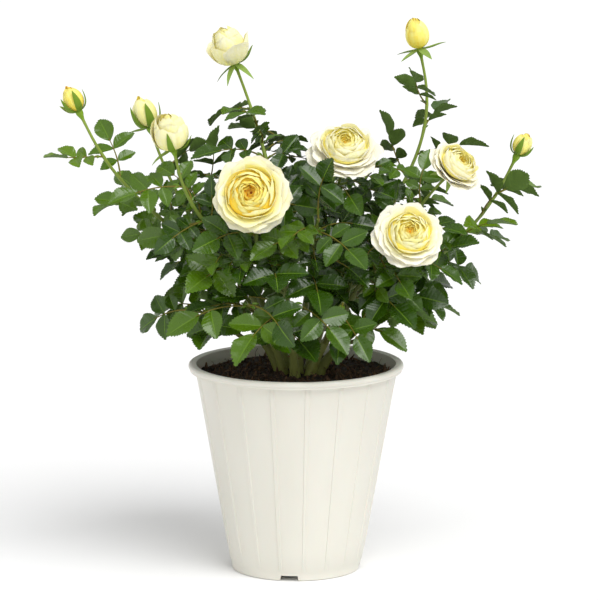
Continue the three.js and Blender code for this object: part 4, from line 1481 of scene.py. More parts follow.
@dataclass
class Pot:
    """The tapered plastic pot: ribbed wall, rolled lip, plain foot band and drain channels."""

    size: PotSize = POT
    rib_columns: int = 12
    rib_edge: float = 0.35
    wall_rows: int = 10
    band_flare: float = 1.4
    lip_steps: int = 7
    lip_roll: float = 3.2
    drain_taper: float = 2.2
    drain_depth: float = 5.0
    sharp: float = 38.0
    name: str = "pot_shell"

    def profile(self) -> list[tuple[float, float, bool]]:
        """Radius, height, and whether the ribs show there, from the underside over the lip to the floor."""
        size = self.size
        wall_foot = size.height - size.lip_height
        band = size.foot_radius + self.band_flare
        points = [(0.0, 0.0, False), (size.foot_radius * 0.5, 0.0, False),
                  (size.foot_radius - 1.2, 0.0, False), (size.foot_radius, 0.5, False),
                  (band, size.foot_band, False), (band + size.band_step, size.foot_band + 1, False)]
        for i in range(1, self.wall_rows):
            share = i / self.wall_rows
            height = mix(size.foot_band + 1, wall_foot, share)
            points.append((mix(band + size.band_step, size.wall_top_radius, share), height, True))
        points.append((size.wall_top_radius, wall_foot - 1.5, True))
        points.append((size.wall_top_radius + 0.4, wall_foot - 0.4, False))
        points.append((size.lip_radius - 1.6, wall_foot + 0.4, False))
        for i in range(self.lip_steps):
            turn = math.radians(mix(-60, 100, i / (self.lip_steps - 1)))
            points.append((size.lip_radius - self.lip_roll + math.cos(turn) * self.lip_roll,
                           size.height - self.lip_roll + math.sin(turn) * self.lip_roll, False))
        inner_top = size.inner_radius(wall_foot)
        points += [(inner_top + 1.5, size.height - 1.0, False),
                   (inner_top + 0.2, wall_foot - 1.0, False),
                   (size.inner_radius(size.floor) + 2, size.floor + 4, False),
                   (size.inner_radius(size.floor) - 2, size.floor, False), (0.0, size.floor, False)]
        return points

    def columns(self) -> list[Point2]:
        """Each column's turn from the front in radians, and how far the rib stands out there."""
        size = self.size
        pitch = 360 / size.ribs
        inside = [(-size.rib_half_width, 0.0), (-size.rib_half_width + self.rib_edge, 1.0), (0.0, 0.8),
                  (size.rib_half_width - self.rib_edge, 1.0), (size.rib_half_width, 0.0)]
        rest = self.rib_columns - len(inside)
        plain = pitch - 2 * size.rib_half_width
        for i in range(1, rest + 1):
            inside.append((size.rib_half_width + plain * i / (rest + 1), 0.0))
        return [(math.radians(rib * pitch + size.rib_phase + angle), out)
                for rib in range(size.ribs) for angle, out in inside]

    def build(self, palette: Palette) -> Object:
        """Makes the pot and gives it to the frame."""
        columns = self.columns()
        rings = []
        for radius, height, ribbed in self.profile():
            outs = [radius + (self.size.rib_height * out if ribbed else 0) for _, out in columns]
            rings.append([(math.sin(turn) * out, -math.cos(turn) * out, height)
                          for (turn, _), out in zip(columns, outs)])
        maker = MeshMaker()
        maker.tube(np.array(rings)[1:-1], ends=np.array([rings[0][0], rings[-1][0]]))
        pot = maker.write(self.name, [palette.plastic])
        self.cut_drains(pot)
        return settle(pot, "pot_plastic", ["pot"])

    def cut_drains(self, pot: Object) -> None:
        """Cuts the drain channels and holes out of the foot."""
        size = self.size
        half = size.drain_width / 2
        section = [(-half, -self.drain_depth), (half, -self.drain_depth),
                   (half - self.drain_taper, size.drain_height),
                   (-half + self.drain_taper, size.drain_height)]
        maker = MeshMaker()
        for i in range(size.drains):
            turn = math.radians(i * 360 / size.drains + size.drain_phase)
            outward = np.array((math.sin(turn), -math.cos(turn), 0.0))
            inner = size.foot_radius - size.drain_length
            across = np.cross(UP, outward)
            maker.tube(np.array([[outward * reach + across * x + UP * z for x, z in section]
                                 for reach in (inner, size.foot_radius + 12)]))
            hole = outward * (inner + size.hole_radius + 4)
            path = np.array([hole - UP * 3, hole + UP * (size.floor + 6)])
            maker.tube(rings_along(path, np.full(2, size.hole_radius), 20))
        cutter = maker.write("drain_cutter", [])
        cut = pot.modifiers.new("drains", "BOOLEAN")
        cut.operation = "DIFFERENCE"
        cut.solver = "EXACT"
        cut.use_self = True
        cut.object = cutter
        mesh = as_modified(pot)
        pot.modifiers.remove(cut)
        pot.data = mesh
        mesh.name = self.name
        mesh.shade_smooth()
        mesh.set_sharp_from_angle(angle=math.radians(self.sharp))
        bpy.data.objects.remove(cutter)


# ---- the compost


@dataclass
class Compost:
    """The compost: a lumpy surface, with crumbs, bark chips and fibres lying in it."""

    size: PotSize = POT
    rings: int = 60
    sides: int = 132
    lump: float = 2.6
    coarse_rate: float = 0.055
    fine_rate: float = 0.2
    edge_drop: float = 2.2
    depth: float = 24.0
    skin: float = 8.0
    strewn_share: float = 0.96
    sink: float = 0.4
    seed: int = 5

    def surface_height(self, x: float, y: float, radius: float) -> float:
        """The compost's height at a place.

        Args:
            x: across, from the pot's middle.
            y: back from it.
            radius: how far out that is.

        Returns:
            The height in millimetres.
        """
        edge = radius / self.size.inner_radius(self.size.soil_top)
        coarse = noise.fractal(Vector((x, y, self.seed)) * self.coarse_rate, 1.0, 2.1, 5)
        lumps = abs(noise.noise(Vector((x, y, self.seed + 9.0)) * self.fine_rate))
        return self.size.soil_top - self.edge_drop * edge**4 + self.lump * (coarse + lumps - 0.35)

    def build(self, palette: Palette) -> list[Object]:
        """Makes the surface and what lies in it, and gives them to the frame."""
        reach = self.size.inner_radius(self.size.soil_top) - 0.6
        turns = even_turns(self.sides)
        grid = []
        for ring in range(1, self.rings + 1):
            radius = reach * ring / self.rings
            places = [(math.cos(turn) * radius, math.sin(turn) * radius) for turn in turns]
            grid.append([(x, y, self.surface_height(x, y, radius)) for x, y in places])
        low = self.size.soil_top - self.depth
        bottom = self.size.inner_radius(low) - 1.0
        grid.append([(math.cos(turn) * bottom, math.sin(turn) * bottom, low) for turn in turns])
        maker = MeshMaker()
        maker.tube(np.array(grid)[::-1])
        surface = maker.write("compost_surface", [palette.earth])
        pieces = [settle(surface, "compost", ["soil"])]
        turning = Scatter("strewn", True)
        top = self.top_only(surface)
        bits = [("compost_crumbs", self.crumb(), 50000, (0.6, 2.8), 11, palette.crumb),
                ("compost_chips", self.chip(), 9000, (0.7, 1.9), 12, palette.fibre),
                ("compost_fibres", self.fibre(), 11000, (0.6, 1.5), 13, palette.fibre)]
        for name, item, density, sizes, seed, finish in bits:
            pieces.append(settle(turning.strew(name, top, item, density, sizes, seed, finish), "compost"))
        bpy.data.objects.remove(top)
        return pieces

    def top_only(self, surface: Object) -> Object:
        """A copy of the compost's upper face, a little lower, for bits to lie half sunk in."""
        mesh = surface.data.copy()
        floor = (self.size.soil_top - self.skin) * MM
        points = [Vector(v.co) for v in mesh.vertices]
        faces = [tuple(p.vertices) for p in mesh.polygons
                 if all(points[v].z > floor for v in p.vertices)]
        mesh.clear_geometry()
        mesh.from_pydata([(p.x * self.strewn_share, p.y * self.strewn_share, p.z - self.sink * MM)
                          for p in points], [], faces)
        return link("compost_top", mesh)

    def crumb(self) -> Object:
        """One crumb, a lumpy grain a millimetre in radius."""
        steps, sides = 4, 6
        random = Random(21)
        rings = []
        for i in range(steps):
            lift = math.radians(mix(-80, 80, i / (steps - 1)))
            rings.append([(math.cos(lift) * math.cos(turn) * random.between(0.75, 1.2),
                           math.cos(lift) * math.sin(turn) * random.between(0.75, 1.2),
                           math.sin(lift) * random.between(0.7, 0.9)) for turn in even_turns(sides)])
        maker = MeshMaker()
        maker.tube(np.array(rings))
        return maker.write("crumb", [])

    def chip(self) -> Object:
        """One chip of bark, a long splinter."""
        maker = MeshMaker()
        path = np.array([(-4.2, 0, 0), (-1.5, 0.3, 0.2), (1.5, -0.2, 0.1), (4.0, 0.4, 0.0)])
        rings = rings_along(path, np.array([0.4, 1.1, 1.0, 0.3]), 6)
        maker.tube(rings * np.array((1.0, 1.0, 0.55)))
        return maker.write("chip", [])

    def fibre(self) -> Object:
        """One curved fibre."""
        maker = MeshMaker()
        turns = np.linspace(0, 1.9, 8)
        path = np.stack([np.sin(turns) * 6, (1 - np.cos(turns)) * 5, np.sin(turns * 2.2) * 0.8], 1)
        maker.tube(rings_along(path, np.full(len(path), 0.22), 4))
        return maker.write("fibre", [])


# ---- canes, stems and prickles


@dataclass
class Woodwork:
    """The canes with their bark's relief, the green stems and twigs, and the prickles.

    Lengths are in millimetres. Flares, swells and shares are parts of the limb's radius or length.
    """

    growth: Growth
    finer: Finer
    cane_sides: int = 18
    cane_rings: int = 64
    stem_sides: int = 10
    stem_rings: int = 34
    twig_rings: int = 12
    twig_sides: int = 8
    twig_radii: Range = (1.4, 0.8)
    foot_depth: float = 2.0
    foot_flare: float = 0.4
    flare_share: float = 0.07
    groove: float = 0.2
    joints: int = 6
    joint_spread: float = 0.25
    joint_swell: float = 0.11
    joint_share: float = 0.012
    root_depth: float = 3.2
    root_swell: float = 1.1
    knuckle_swell: float = 0.22
    knuckle_reach: float = 2.2
    stalk_rings: int = 6
    stalk_radius: float = 1.7
    hip_share: float = 0.7

    # How fast the bark's relief changes round a cane and along it, and its finer layer's rate.
    RELIEF_ROUND = 2.2
    RELIEF_ALONG = 9
    RELIEF_FINER = 2.7

    def cane(self, cane: Cane, maker: MeshMaker, seed: int) -> None:
        """Adds a tapering limb with a flared foot, grooves, and a ring at each old leaf joint.

        Args:
            cane: the cane.
            maker: where it is added.
            seed: of its joints and its relief.
        """
        shares = np.linspace(0, 1, self.cane_rings)
        path = cane.curve.points(shares)
        path[0] -= UP * self.foot_depth
        radii = mix(*cane.radii, shares)
        radii = radii * (1 + self.foot_flare * np.exp(-shares / self.flare_share))
        random = Random(seed)
        for joint in range(self.joints):
            place = (joint + 0.6 + random.spread(self.joint_spread)) / self.joints
            swell = np.exp(-(((shares - place) / self.joint_share) ** 2))
            radii = radii * (1 + self.joint_swell * swell)
        turns = even_turns(self.cane_sides)
        relief = np.zeros((self.cane_rings, self.cane_sides))
        for i, share in enumerate(shares):
            for j, turn in enumerate(turns):
                spot = Vector((math.cos(turn) * self.RELIEF_ROUND, math.sin(turn) * self.RELIEF_ROUND,
                               share * self.RELIEF_ALONG + seed))
                finer = noise.noise(spot * self.RELIEF_FINER) * self.groove
                relief[i, j] = noise.noise(spot) * self.groove * 2 + finer
        maker.tube(rings_along(path, radii[:, None] + relief, self.cane_sides))

    def stem(self, shoot: Shoot, maker: MeshMaker) -> None:
        """Adds a shoot's stem, from inside its cane to its tip or its flower's hip.

        Args:
            shoot: the shoot, with its leaves grown.
            maker: where it is added.
        """
        shares = np.linspace(0, 1, self.stem_rings)
        path = shoot.curve.points(shares)
        radii = mix(STEM.start_radius, STEM.tip_radius, shares)
        back = path[0] - shoot.curve.tangent(0) * self.root_depth
        path = np.concatenate([[back], path])
        radii = np.concatenate([[STEM.start_radius * self.root_swell], radii])
        if shoot.flower:
            flower = shoot.flower
            end = flower.hip_top - flower.axes[2] * flower.HIP_LENGTH * self.hip_share
            steps = np.linspace(0.2, 1, self.stalk_rings)[:, None]
            path = np.concatenate([path, path[-1] * (1 - steps) + end * steps])
            wider = np.linspace(STEM.tip_radius, self.stalk_radius, self.stalk_rings)
            radii = np.concatenate([radii, wider])
        for leaf in shoot.grown:
            gap = np.linalg.norm(path - leaf.stalk.point(0), axis=1)
            radii = radii * (1 + self.knuckle_swell * np.exp(-((gap / self.knuckle_reach) ** 2)))
        maker.tube(rings_along(path, radii, self.stem_sides))

    def build(self, palette: Palette) -> list[Object]:
        """Makes all the limbs and their prickles, and gives them to the frame."""
        wood = MeshMaker()
        for seed, cane in enumerate(self.growth.canes.values()):
            self.cane(cane, wood, seed * 31 + 3)
        canes = wood.write("canes_bark", [palette.bark])
        green = MeshMaker()
        for shoot in self.growth.shoots:
            self.stem(shoot, green)
        for twig in self.finer.twigs:
            path = twig.curve.points(np.linspace(0, 1, self.twig_rings))
            radii = np.linspace(*self.twig_radii, self.twig_rings)
            green.tube(rings_along(path, radii, self.twig_sides))
        stems = green.write("stems_green", [palette.stem])
        pricks = Scatter("prickles", False)
        on_wood = pricks.strew("prickles_on_canes", canes, self.prickle(), 900, (0.7, 1.3), 3,
                               palette.prickle)
        on_stems = pricks.strew("prickles_on_stems", stems, self.prickle(), 500, (0.4, 0.8), 4,
                                palette.prickle)
        shoots = [f"shoot_{shoot.name}" for shoot in self.growth.shoots]
        return [settle(canes, "cane_bark", list(self.growth.canes)), settle(stems, "foliage", shoots),
                settle(on_wood, "cane_bark"), settle(on_stems, "foliage")]

    def prickle(self) -> Object:
        """One hooked prickle, four millimetres long, with its foot at the origin."""
        maker = MeshMaker()
        shares = np.linspace(0, 1, 6)
        path = np.stack([-1.6 * shares**2, 0 * shares, 4.2 * shares - 0.6], 1)
        radii = 1.05 * (1 - shares) ** 1.35 + 0.06
        maker.tube(rings_along(path, radii, 6))
        return maker.write("prickle", [])


# ---- leaves


@dataclass
class Foliage:
    """Every leaflet with its teeth, folds and veins, and every leaf stalk.

    Blade shapes are in shares of a leaflet's length, and roll, pitch and splay are in radians.
    Thickness, small, the stalk's radii, middle and reach are in millimetres.
    """

    growth: Growth
    finer: Finer
    rows: int = 24
    variants: int = 9
    half_width: float = 0.34
    slant: float = 0.5
    thickness: float = 0.4
    small: float = 17.0
    roll: float = 0.38
    pitch: float = 0.2
    edge_wave: float = 0.022
    vein_relief: float = 0.011
    midrib_depth: float = 0.012
    tooth_across: float = 0.017
    tooth_along: float = 0.020
    stalk_rings: int = 10
    stalk_sides: int = 6
    stalk_radii: Range = (1.0, 0.45)
    stalk_end: float = 0.12
    stipule_length: float = 0.26
    stipule_splay: float = 0.35
    # Leaves take a lighter green the farther they are from the crown's middle, and by chance: painted light
    # on the crown's outside and painted shade in its middle.
    middle: Point = (0.0, 0.0, 320.0)
    reach: float = 230.0
    by_chance: float = 0.55
    by_reach: float = 0.449

    COLUMNS = (-1.0, -0.76, -0.42, -0.045, 0.045, 0.42, 0.76, 1.0)
    VEIN_ROWS = 3
    TOOTHED = (0.06, 0.98)
    # Where the crown's parts divide: its back, its left and its right.
    BACK, LEFT, RIGHT = 45, -55, 60

    @property
    def few_rows(self) -> int:
        """How many rows of faces a small leaflet has."""
        return self.rows * 3 // 5

    def template(self, variant: int, rows: int) -> Array:
        """A leaflet's middle surface, in shares of its length along, across and up.

        Args:
            variant: which of the slightly different blades.
            rows: rows of faces from its root to its tip.

        Returns:
            Points by row and column.
        """
        random = Random(500 + variant)
        wave, ripple, bend = random.next() * 6, random.between(1.5, 2.6), random.between(0.7, 1.4)
        narrow = random.between(0.88, 1.06)
        t = np.linspace(0.004, 0.997, rows + 1)[:, None]
        s = np.array(self.COLUMNS)[None, :]
        shape = t**0.52 * (1 - t) ** 0.92
        width = self.half_width * narrow * shape / shape.max() + 0.002
        side = np.abs(s)
        along = t + self.slant * side * width * (1 - t * 0.6)
        across = s * width
        up = LEAF.fold * side**1.2 * width / self.half_width * 1.15
        up = up - LEAF.tip_droop * bend * t**2.2
        waves = self.edge_wave * np.sin(wave + t * ripple * 2 * math.pi)
        up = up + waves * s * side * width / self.half_width
        veins = np.cos(np.arange(rows + 1)[:, None] * 2 * math.pi / self.VEIN_ROWS)
        up = up + self.vein_relief * veins * side * (1.2 - side) * 3 * (1 - t)
        up = up + np.where(side < 0.1, -self.midrib_depth * (1 - t), 0)
        tooth = np.where(np.arange(rows + 1)[:, None] % 2 == 1, 1.0, -0.6)
        edge = (side == 1) * tooth * (t > self.TOOTHED[0]) * (t < self.TOOTHED[1])
        across = across + np.sign(s) * edge * self.tooth_across
        along = along + edge * self.tooth_along
        return np.stack(np.broadcast_arrays(along, across, up), axis=-1)

    def leaf(self, maker: MeshMaker, leaf: Leaf, templates: dict[int, list[Array]], random: Random) -> None:
        """Adds one compound leaf with its stalk and stipules.

        Args:
            maker: where it is added.
            leaf: the leaf.
            templates: blades by their rows of faces.
            random: for its shade, and its leaflets' turns and blades.
        """
        # The green is painted lighter towards the crown's outside and darker in its middle, as light and
        # shade would fall there.
        painted_light_share = min(float(np.linalg.norm(leaf.end.root - np.array(self.middle))) / self.reach, 1.0)
        shade = int((self.by_chance * random.next() + self.by_reach * painted_light_share) * len(Palette.GREENS))
        for leaflet in leaf.leaflets:
            leaflet = leaflet.turned(random.spread(self.roll), random.spread(self.pitch))
            rows = self.rows if leaflet.length > self.small else self.few_rows
            grids = templates[rows]
            grid = leaflet.place(grids[int(random.next() * len(grids))])
            strips = len(self.COLUMNS) - 1
            upper = np.full((rows, strips), shade)
            upper[:, strips // 2] = Palette.VEIN
            maker.sheet(grid, self.thickness, upper.reshape(-1), Palette.UNDERSIDE, True)
        path = leaf.stalk.points(np.linspace(0, 1, self.stalk_rings))
        path = np.concatenate([path, [leaf.end.root + leaf.end.along * leaf.end.length * self.stalk_end]])
        radii = np.linspace(*self.stalk_radii, len(path))
        maker.tube(rings_along(path, radii, self.stalk_sides), Palette.STALK)
        self.stipules(maker, leaf, templates)

    def stipules(self, maker: MeshMaker, leaf: Leaf, templates: dict[int, list[Array]]) -> None:
        """Adds the two narrow wings along the foot of a leaf's stalk.

        Args:
            maker: where they are added.
            leaf: the leaf.
            templates: blades by their rows of faces.
        """
        grid = templates[self.few_rows][0] * np.array((1.0, 0.5, 1.0))
        direction = leaf.stalk.tangent(0.05)
        foot, length = leaf.stalk.point(0.06), leaf.end.length * self.stipule_length
        for hand in (1, -1):
            splay = turned(direction, leaf.end.normal, hand * self.stipule_splay)
            wing = Leaflet.facing(foot, length, splay, leaf.end.normal)
            maker.sheet(wing.place(grid), self.thickness, Palette.VEIN, Palette.UNDERSIDE, True)

    def side_of(self, shoot: Shoot) -> str:
        """Which part of the crown a shoot's leaves belong to."""
        x, y, _ = shoot.curve.point(0.8)
        if y > self.BACK:
            return "back"
        return "left" if x < self.LEFT else "right" if x > self.RIGHT else "middle"

    def build(self, palette: Palette) -> list[Object]:
        """Makes the leaves of each part of the crown, and gives them to the frame."""
        templates = {rows: [self.template(i, rows) for i in range(self.variants)]
                     for rows in (self.rows, self.few_rows)}
        makers: dict[str, MeshMaker] = {}
        nodes: dict[str, list[str]] = {}
        random = Random(77)
        count = 0
        limbs = [(self.side_of(shoot), shoot.grown, [f"shoot_{shoot.name}"])
                 for shoot in self.growth.shoots]
        limbs += [("twigs", twig.leaves, []) for twig in self.finer.twigs]
        for part, leaves, stands_for in limbs:
            maker = makers.setdefault(part, MeshMaker())
            nodes.setdefault(part, []).extend(stands_for)
            for leaf in leaves:
                self.leaf(maker, leaf, templates, random)
                count += len(leaf.leaflets)
        LOG.info("%d leaflets", count)
        return [settle(maker.write(f"leaves_{part}", palette.leaves), "foliage", nodes[part])
                for part, maker in makers.items()]


# ---- flowers


@dataclass(frozen=True)
class Whorl:
    """A ring of petals. Lengths are shares of the flower's radius."""

    petals: int
    path: tuple[Point2, ...]
    width: float
    shade: float
    depth: float
    wave: float = 0.03
    tip: float = 0.05
    jitter: float = 0.15


@dataclass(frozen=True)
class SepalShape:
    """A flower's sepals: length, half width, and paths closed and open, in shares of its radius."""

    length: float
    width: float
    closed: tuple[Point2, ...]
    opened: tuple[Point2, ...]


@dataclass
class Blossom:
    """All the flowers: petals by kind, and the green hips and sepals.

    Shapes are in shares of a flower's radius, thicknesses in millimetres, and shades and tones in
    steps of the palette's PETALS.
    """

    growth: Growth
    steps: int = 11
    thickness: float = 0.45
    foot_width: float = 0.3
    widest: float = 0.72
    uneven: float = 0.06
    spiral: float = 0.05
    bud_spiral: float = 0.13
    rim_fall: float = 0.22
    tip_share: float = 0.3
    petal_tone: float = 0.45
    streak_tone: float = 0.3
    # How much deeper gold the under sides of the inner petals are: painted shade in the gaps between them.
    painted_gap_shade: float = 0.8
    heart_sides: int = 30
    heart_shade: float = 4.6
    sepal_thickness: float = 0.5
    sepal_grid: tuple[int, int] = (13, 5)
    hip_sides: int = 16

    # How far a flared petal's path bends out.
    FLARE = ((0.0, 0.0), (0.0, 0.0), (0.02, -0.06), (0.40, -0.12))
    # The heart from its foot to its middle: radius and height, in shares of the flower's radius.
    HEART = ((0.10, 0.10), (0.45, 0.25), (0.62, 0.42), (0.61, 0.52), (0.54, 0.60), (0.45, 0.65),
             (0.36, 0.675), (0.27, 0.67), (0.19, 0.65), (0.12, 0.62), (0.06, 0.59), (0.02, 0.58))
    WHORLS = {
        Kind.OPEN: (
            Whorl(6, ((0.06, 0.02), (0.50, -0.04), (0.82, 0.24), (1.05, 0.20)), 0.64, 0.0, 1.4, 0.06, 0.03),
            Whorl(6, ((0.08, 0.05), (0.50, 0.06), (0.76, 0.38), (0.96, 0.35)), 0.58, 0.3, 1.6, 0.06, 0.03),
            Whorl(5, ((0.10, 0.08), (0.52, 0.16), (0.70, 0.50), (0.84, 0.49)), 0.58, 0.8, 1.8, 0.05, 0.03),
            Whorl(5, ((0.12, 0.10), (0.60, 0.24), (0.70, 0.56), (0.67, 0.64)), 0.52, 1.4, 2.0, 0.035, 0.02),
            Whorl(6, ((0.12, 0.12), (0.57, 0.30), (0.67, 0.64), (0.50, 0.71)), 0.42, 2.0, 1.4, 0.025, 0.02),
            Whorl(6, ((0.10, 0.16), (0.49, 0.36), (0.58, 0.70), (0.41, 0.76)), 0.38, 2.4, 1.4, 0.025, 0.02),
            Whorl(7, ((0.08, 0.18), (0.40, 0.38), (0.49, 0.73), (0.33, 0.79)), 0.33, 2.8, 1.4, 0.025, 0.02),
            Whorl(7, ((0.06, 0.20), (0.32, 0.40), (0.41, 0.74), (0.26, 0.79)), 0.29, 3.2, 1.4, 0.025, 0.02),
            Whorl(7, ((0.05, 0.22), (0.24, 0.40), (0.33, 0.72), (0.19, 0.77)), 0.25, 3.7, 1.4, 0.025, 0.02),
            Whorl(6, ((0.04, 0.24), (0.17, 0.40), (0.25, 0.70), (0.15, 0.74)), 0.20, 4.2, 1.4, 0.02, 0.02),
            Whorl(5, ((0.03, 0.26), (0.12, 0.40), (0.18, 0.66), (0.11, 0.70)), 0.15, 4.6, 1.2, 0.02, 0.02),
            Whorl(5, ((0.02, 0.28), (0.08, 0.40), (0.12, 0.60), (0.07, 0.67)), 0.10, 5.0, 0.6, 0.01, 0.01),
        ),
        Kind.HALF_OPEN: (
            Whorl(5, ((0.12, 0.02), (1.04, 0.02), (1.04, 1.00), (0.84, 1.42)), 0.76, 0.9, 2.4, 0.03, 0.06),
            Whorl(5, ((0.12, 0.05), (0.99, 0.15), (1.00, 1.30), (0.62, 1.74)), 0.72, 1.3, 2.4, 0.03, 0.06),
            Whorl(5, ((0.10, 0.10), (0.87, 0.25), (0.88, 1.45), (0.43, 1.90)), 0.62, 1.7, 2.0, 0.03, 0.05),
            Whorl(5, ((0.08, 0.10), (0.68, 0.30), (0.70, 1.55), (0.29, 1.96)), 0.50, 2.1, 2.0, 0.03, 0.04),
            Whorl(4, ((0.05, 0.10), (0.46, 0.30), (0.50, 1.55), (0.17, 1.96)), 0.38, 2.6, 2.0, 0.02, 0.03),
            Whorl(3, ((0.05, 0.10), (0.27, 0.30), (0.31, 1.50), (0.08, 1.90)), 0.25, 3.0, 2.0, 0.02, 0.02),
        ),
        Kind.BUD: (
            Whorl(4, ((0.10, 0.00), (1.22, 0.20), (1.20, 1.60), (0.52, 2.24)), 0.96, 2.2, 1.8, 0.025, 0.06),
            Whorl(4, ((0.10, 0.10), (1.05, 0.30), (1.02, 1.85), (0.32, 2.46)), 0.86, 2.8, 1.6, 0.02, 0.05),
            Whorl(3, ((0.05, 0.10), (0.78, 0.45), (0.70, 2.00), (0.18, 2.56)), 0.70, 3.4, 1.6, 0.02, 0.04),
            Whorl(3, ((0.05, 0.10), (0.45, 0.45), (0.40, 2.00), (0.08, 2.58)), 0.38, 4.0, 1.4, 0.02, 0.02),
        ),
    }
    # Sepals' radius and height above the hip at opening 0, where they hug the bloom, and at 1.
    SEPALS = {
        Kind.OPEN: SepalShape(0.7, 0.14, ((0.06, 0.0), (0.60, -0.02), (0.9, 0.2), (1.0, 0.3)),
                              ((0.06, 0.0), (0.26, -0.04), (0.5, -0.10), (0.7, -0.20))),
        Kind.HALF_OPEN: SepalShape(1.35, 0.24, ((0.14, -0.05), (1.20, -0.10), (1.16, 0.9), (1.2, 1.5)),
                                   ((0.14, -0.05), (0.60, -0.22), (1.1, -0.14), (1.6, -0.50))),
        Kind.BUD: SepalShape(2.1, 0.46, ((0.24, -0.08), (1.46, 0.10), (1.34, 1.5), (1.16, 2.2)),
                             ((0.24, -0.08), (1.00, -0.30), (1.7, -0.15), (2.6, -0.30))),
    }
    # The hip from its foot to its top: radius and height below the top, in millimetres.
    HIP = ((1.5, -8.4), (1.8, -7.2), (2.4, -5.4), (3.1, -3.8), (3.5, -2.0), (3.4, -0.4), (2.6, 0.5))

    @staticmethod
    def about(turn: float, out: Array, side: Array, up: Array) -> Array:
        """Points at a turn round the axis, from how far out, to the side and up they are."""
        x = math.cos(turn) * out - math.sin(turn) * side
        y = math.sin(turn) * out + math.cos(turn) * side
        return np.stack(np.broadcast_arrays(x, y, up), axis=-1)

    def petal(self, flower: Flower, whorl: Whorl, turn: float, random: Random) -> Array:
        """One petal's middle surface in the flower's own axes.

        Args:
            flower: the flower that it belongs to.
            whorl: its ring.
            turn: its middle's turn round the axis.
            random: for what makes it differ from its neighbours.

        Returns:
            Points by row, from its foot to its rim, and column.
        """
        size = flower.radius
        knots = np.array(whorl.path)
        if whorl is self.WHORLS[flower.kind][0]:
            knots = knots + np.array(self.FLARE) * flower.flare * random.between(0.2, 1.6)
        path = Bezier(knots * size * (1 + random.spread(self.uneven)))
        a = np.linspace(0, 1, self.steps)[:, None]
        b = np.linspace(-1, 1, self.steps)[None, :]
        point = whorl.tip * random.between(-0.6, 1.4)
        tip = a**3 * point * np.exp(-((b / self.tip_share) ** 2))
        rim = a * (1 - self.rim_fall * np.abs(b) ** 2.5 * a) + tip
        rim = rim + a**3 * 0.55 * whorl.wave * np.sin(b * 9 + random.next() * 6)
        middle = path.points(np.clip(rim, 0, 1.08).reshape(-1)).reshape(self.steps, self.steps, 2)
        radius, height = middle[..., 0], middle[..., 1]
        swell = np.sin(np.clip(rim / self.widest, 0, 1) * math.pi / 2) ** 0.8
        fall = np.clip((rim - self.widest) / (1 - self.widest), 0, 1) ** 2
        width = whorl.width * size * (self.foot_width + (1 - self.foot_width) * swell - 0.28 * fall)
        curl = np.maximum(radius, 0.05 * size)
        if flower.kind is Kind.OPEN:
            curl = np.maximum(radius * 0.95, 0.1 * size) * (1 + 0.3 * a * (1 - flower.cup))
        around = np.clip(b * width / curl, -2.1, 2.1)
        sway = random.next() * 6
        ripple = whorl.wave * size * a**1.5 * np.sin(b * random.between(3.2, 5.4) + sway)
        cup = flower.cup * size * 0.35 * a * (1 if whorl.path[-1][0] > 0.6 else 0.2)
        lean = random.spread(whorl.wave) * size
        spiral = self.spiral if flower.kind is Kind.OPEN else self.bud_spiral
        out = radius - curl * (1 - np.cos(around)) + ripple * 0.6 - cup * 0.5 + spiral * size * b * a
        side = curl * np.sin(around)
        up = height + ripple * 0.8 + cup + lean * a + random.spread(whorl.wave) * size * b * a
        return self.about(turn, out, side, up)

    def petals(self, flower: Flower, maker: MeshMaker) -> None:
        """Adds all of a flower's petals, ring by ring.

        Args:
            flower: the flower.
            maker: where they are added.
        """
        random = Random(flower.seed * 97)
        cells = self.steps - 1
        for ring, whorl in enumerate(self.WHORLS[flower.kind]):
            start = random.next() if ring > 1 else 0.5 * ring
            for i in range(whorl.petals):
                jitter = random.spread(whorl.jitter)
                turn = (i + start + jitter) / whorl.petals * 2 * math.pi
                grid = self.petal(flower, whorl, turn, random)
                own = random.spread(self.petal_tone) + flower.gold
                height = (np.arange(cells)[:, None] + 0.5) / cells
                streaks = np.array([random.spread(self.streak_tone) for _ in range(cells)])[None, :]
                shades = (whorl.shade + own + streaks + whorl.depth * (1 - height) ** 1.3).reshape(-1)
                # The under sides of the inner rings take a deeper gold, which is painted shade in the gaps
                # between petals.
                inside = Palette.petal_slot(shades + (self.painted_gap_shade if ring > 2 else 0))
                maker.sheet(flower.place(grid), self.thickness, Palette.petal_slot(shades), inside)

    def heart(self, flower: Flower, maker: MeshMaker) -> None:
        """Adds the gold mass of small petals deep in an open flower, and its dark eye.

        Args:
            flower: the flower.
            maker: where they are added.
        """
        size = flower.radius
        turns = even_turns(self.heart_sides)
        around = np.stack([np.cos(turns), np.sin(turns), 0 * turns], 1)
        rings = [around * radius * size + UP * height * size for radius, height in self.HEART]
        gold = Palette.petal_slot(np.array(self.heart_shade + flower.gold))
        maker.tube(np.array([flower.place(ring) for ring in rings]), int(gold))
        shares = np.linspace(0, 1, 4)
        path = flower.place(np.stack([0 * shares, 0 * shares, mix(0.4, 0.65, shares) * size], 1))
        eye = Palette.EYE if flower.gold > 0 else Palette.EYE - 1
        maker.tube(rings_along(path, np.array([0.05, 0.055, 0.04, 0.01]) * size, 8), eye)

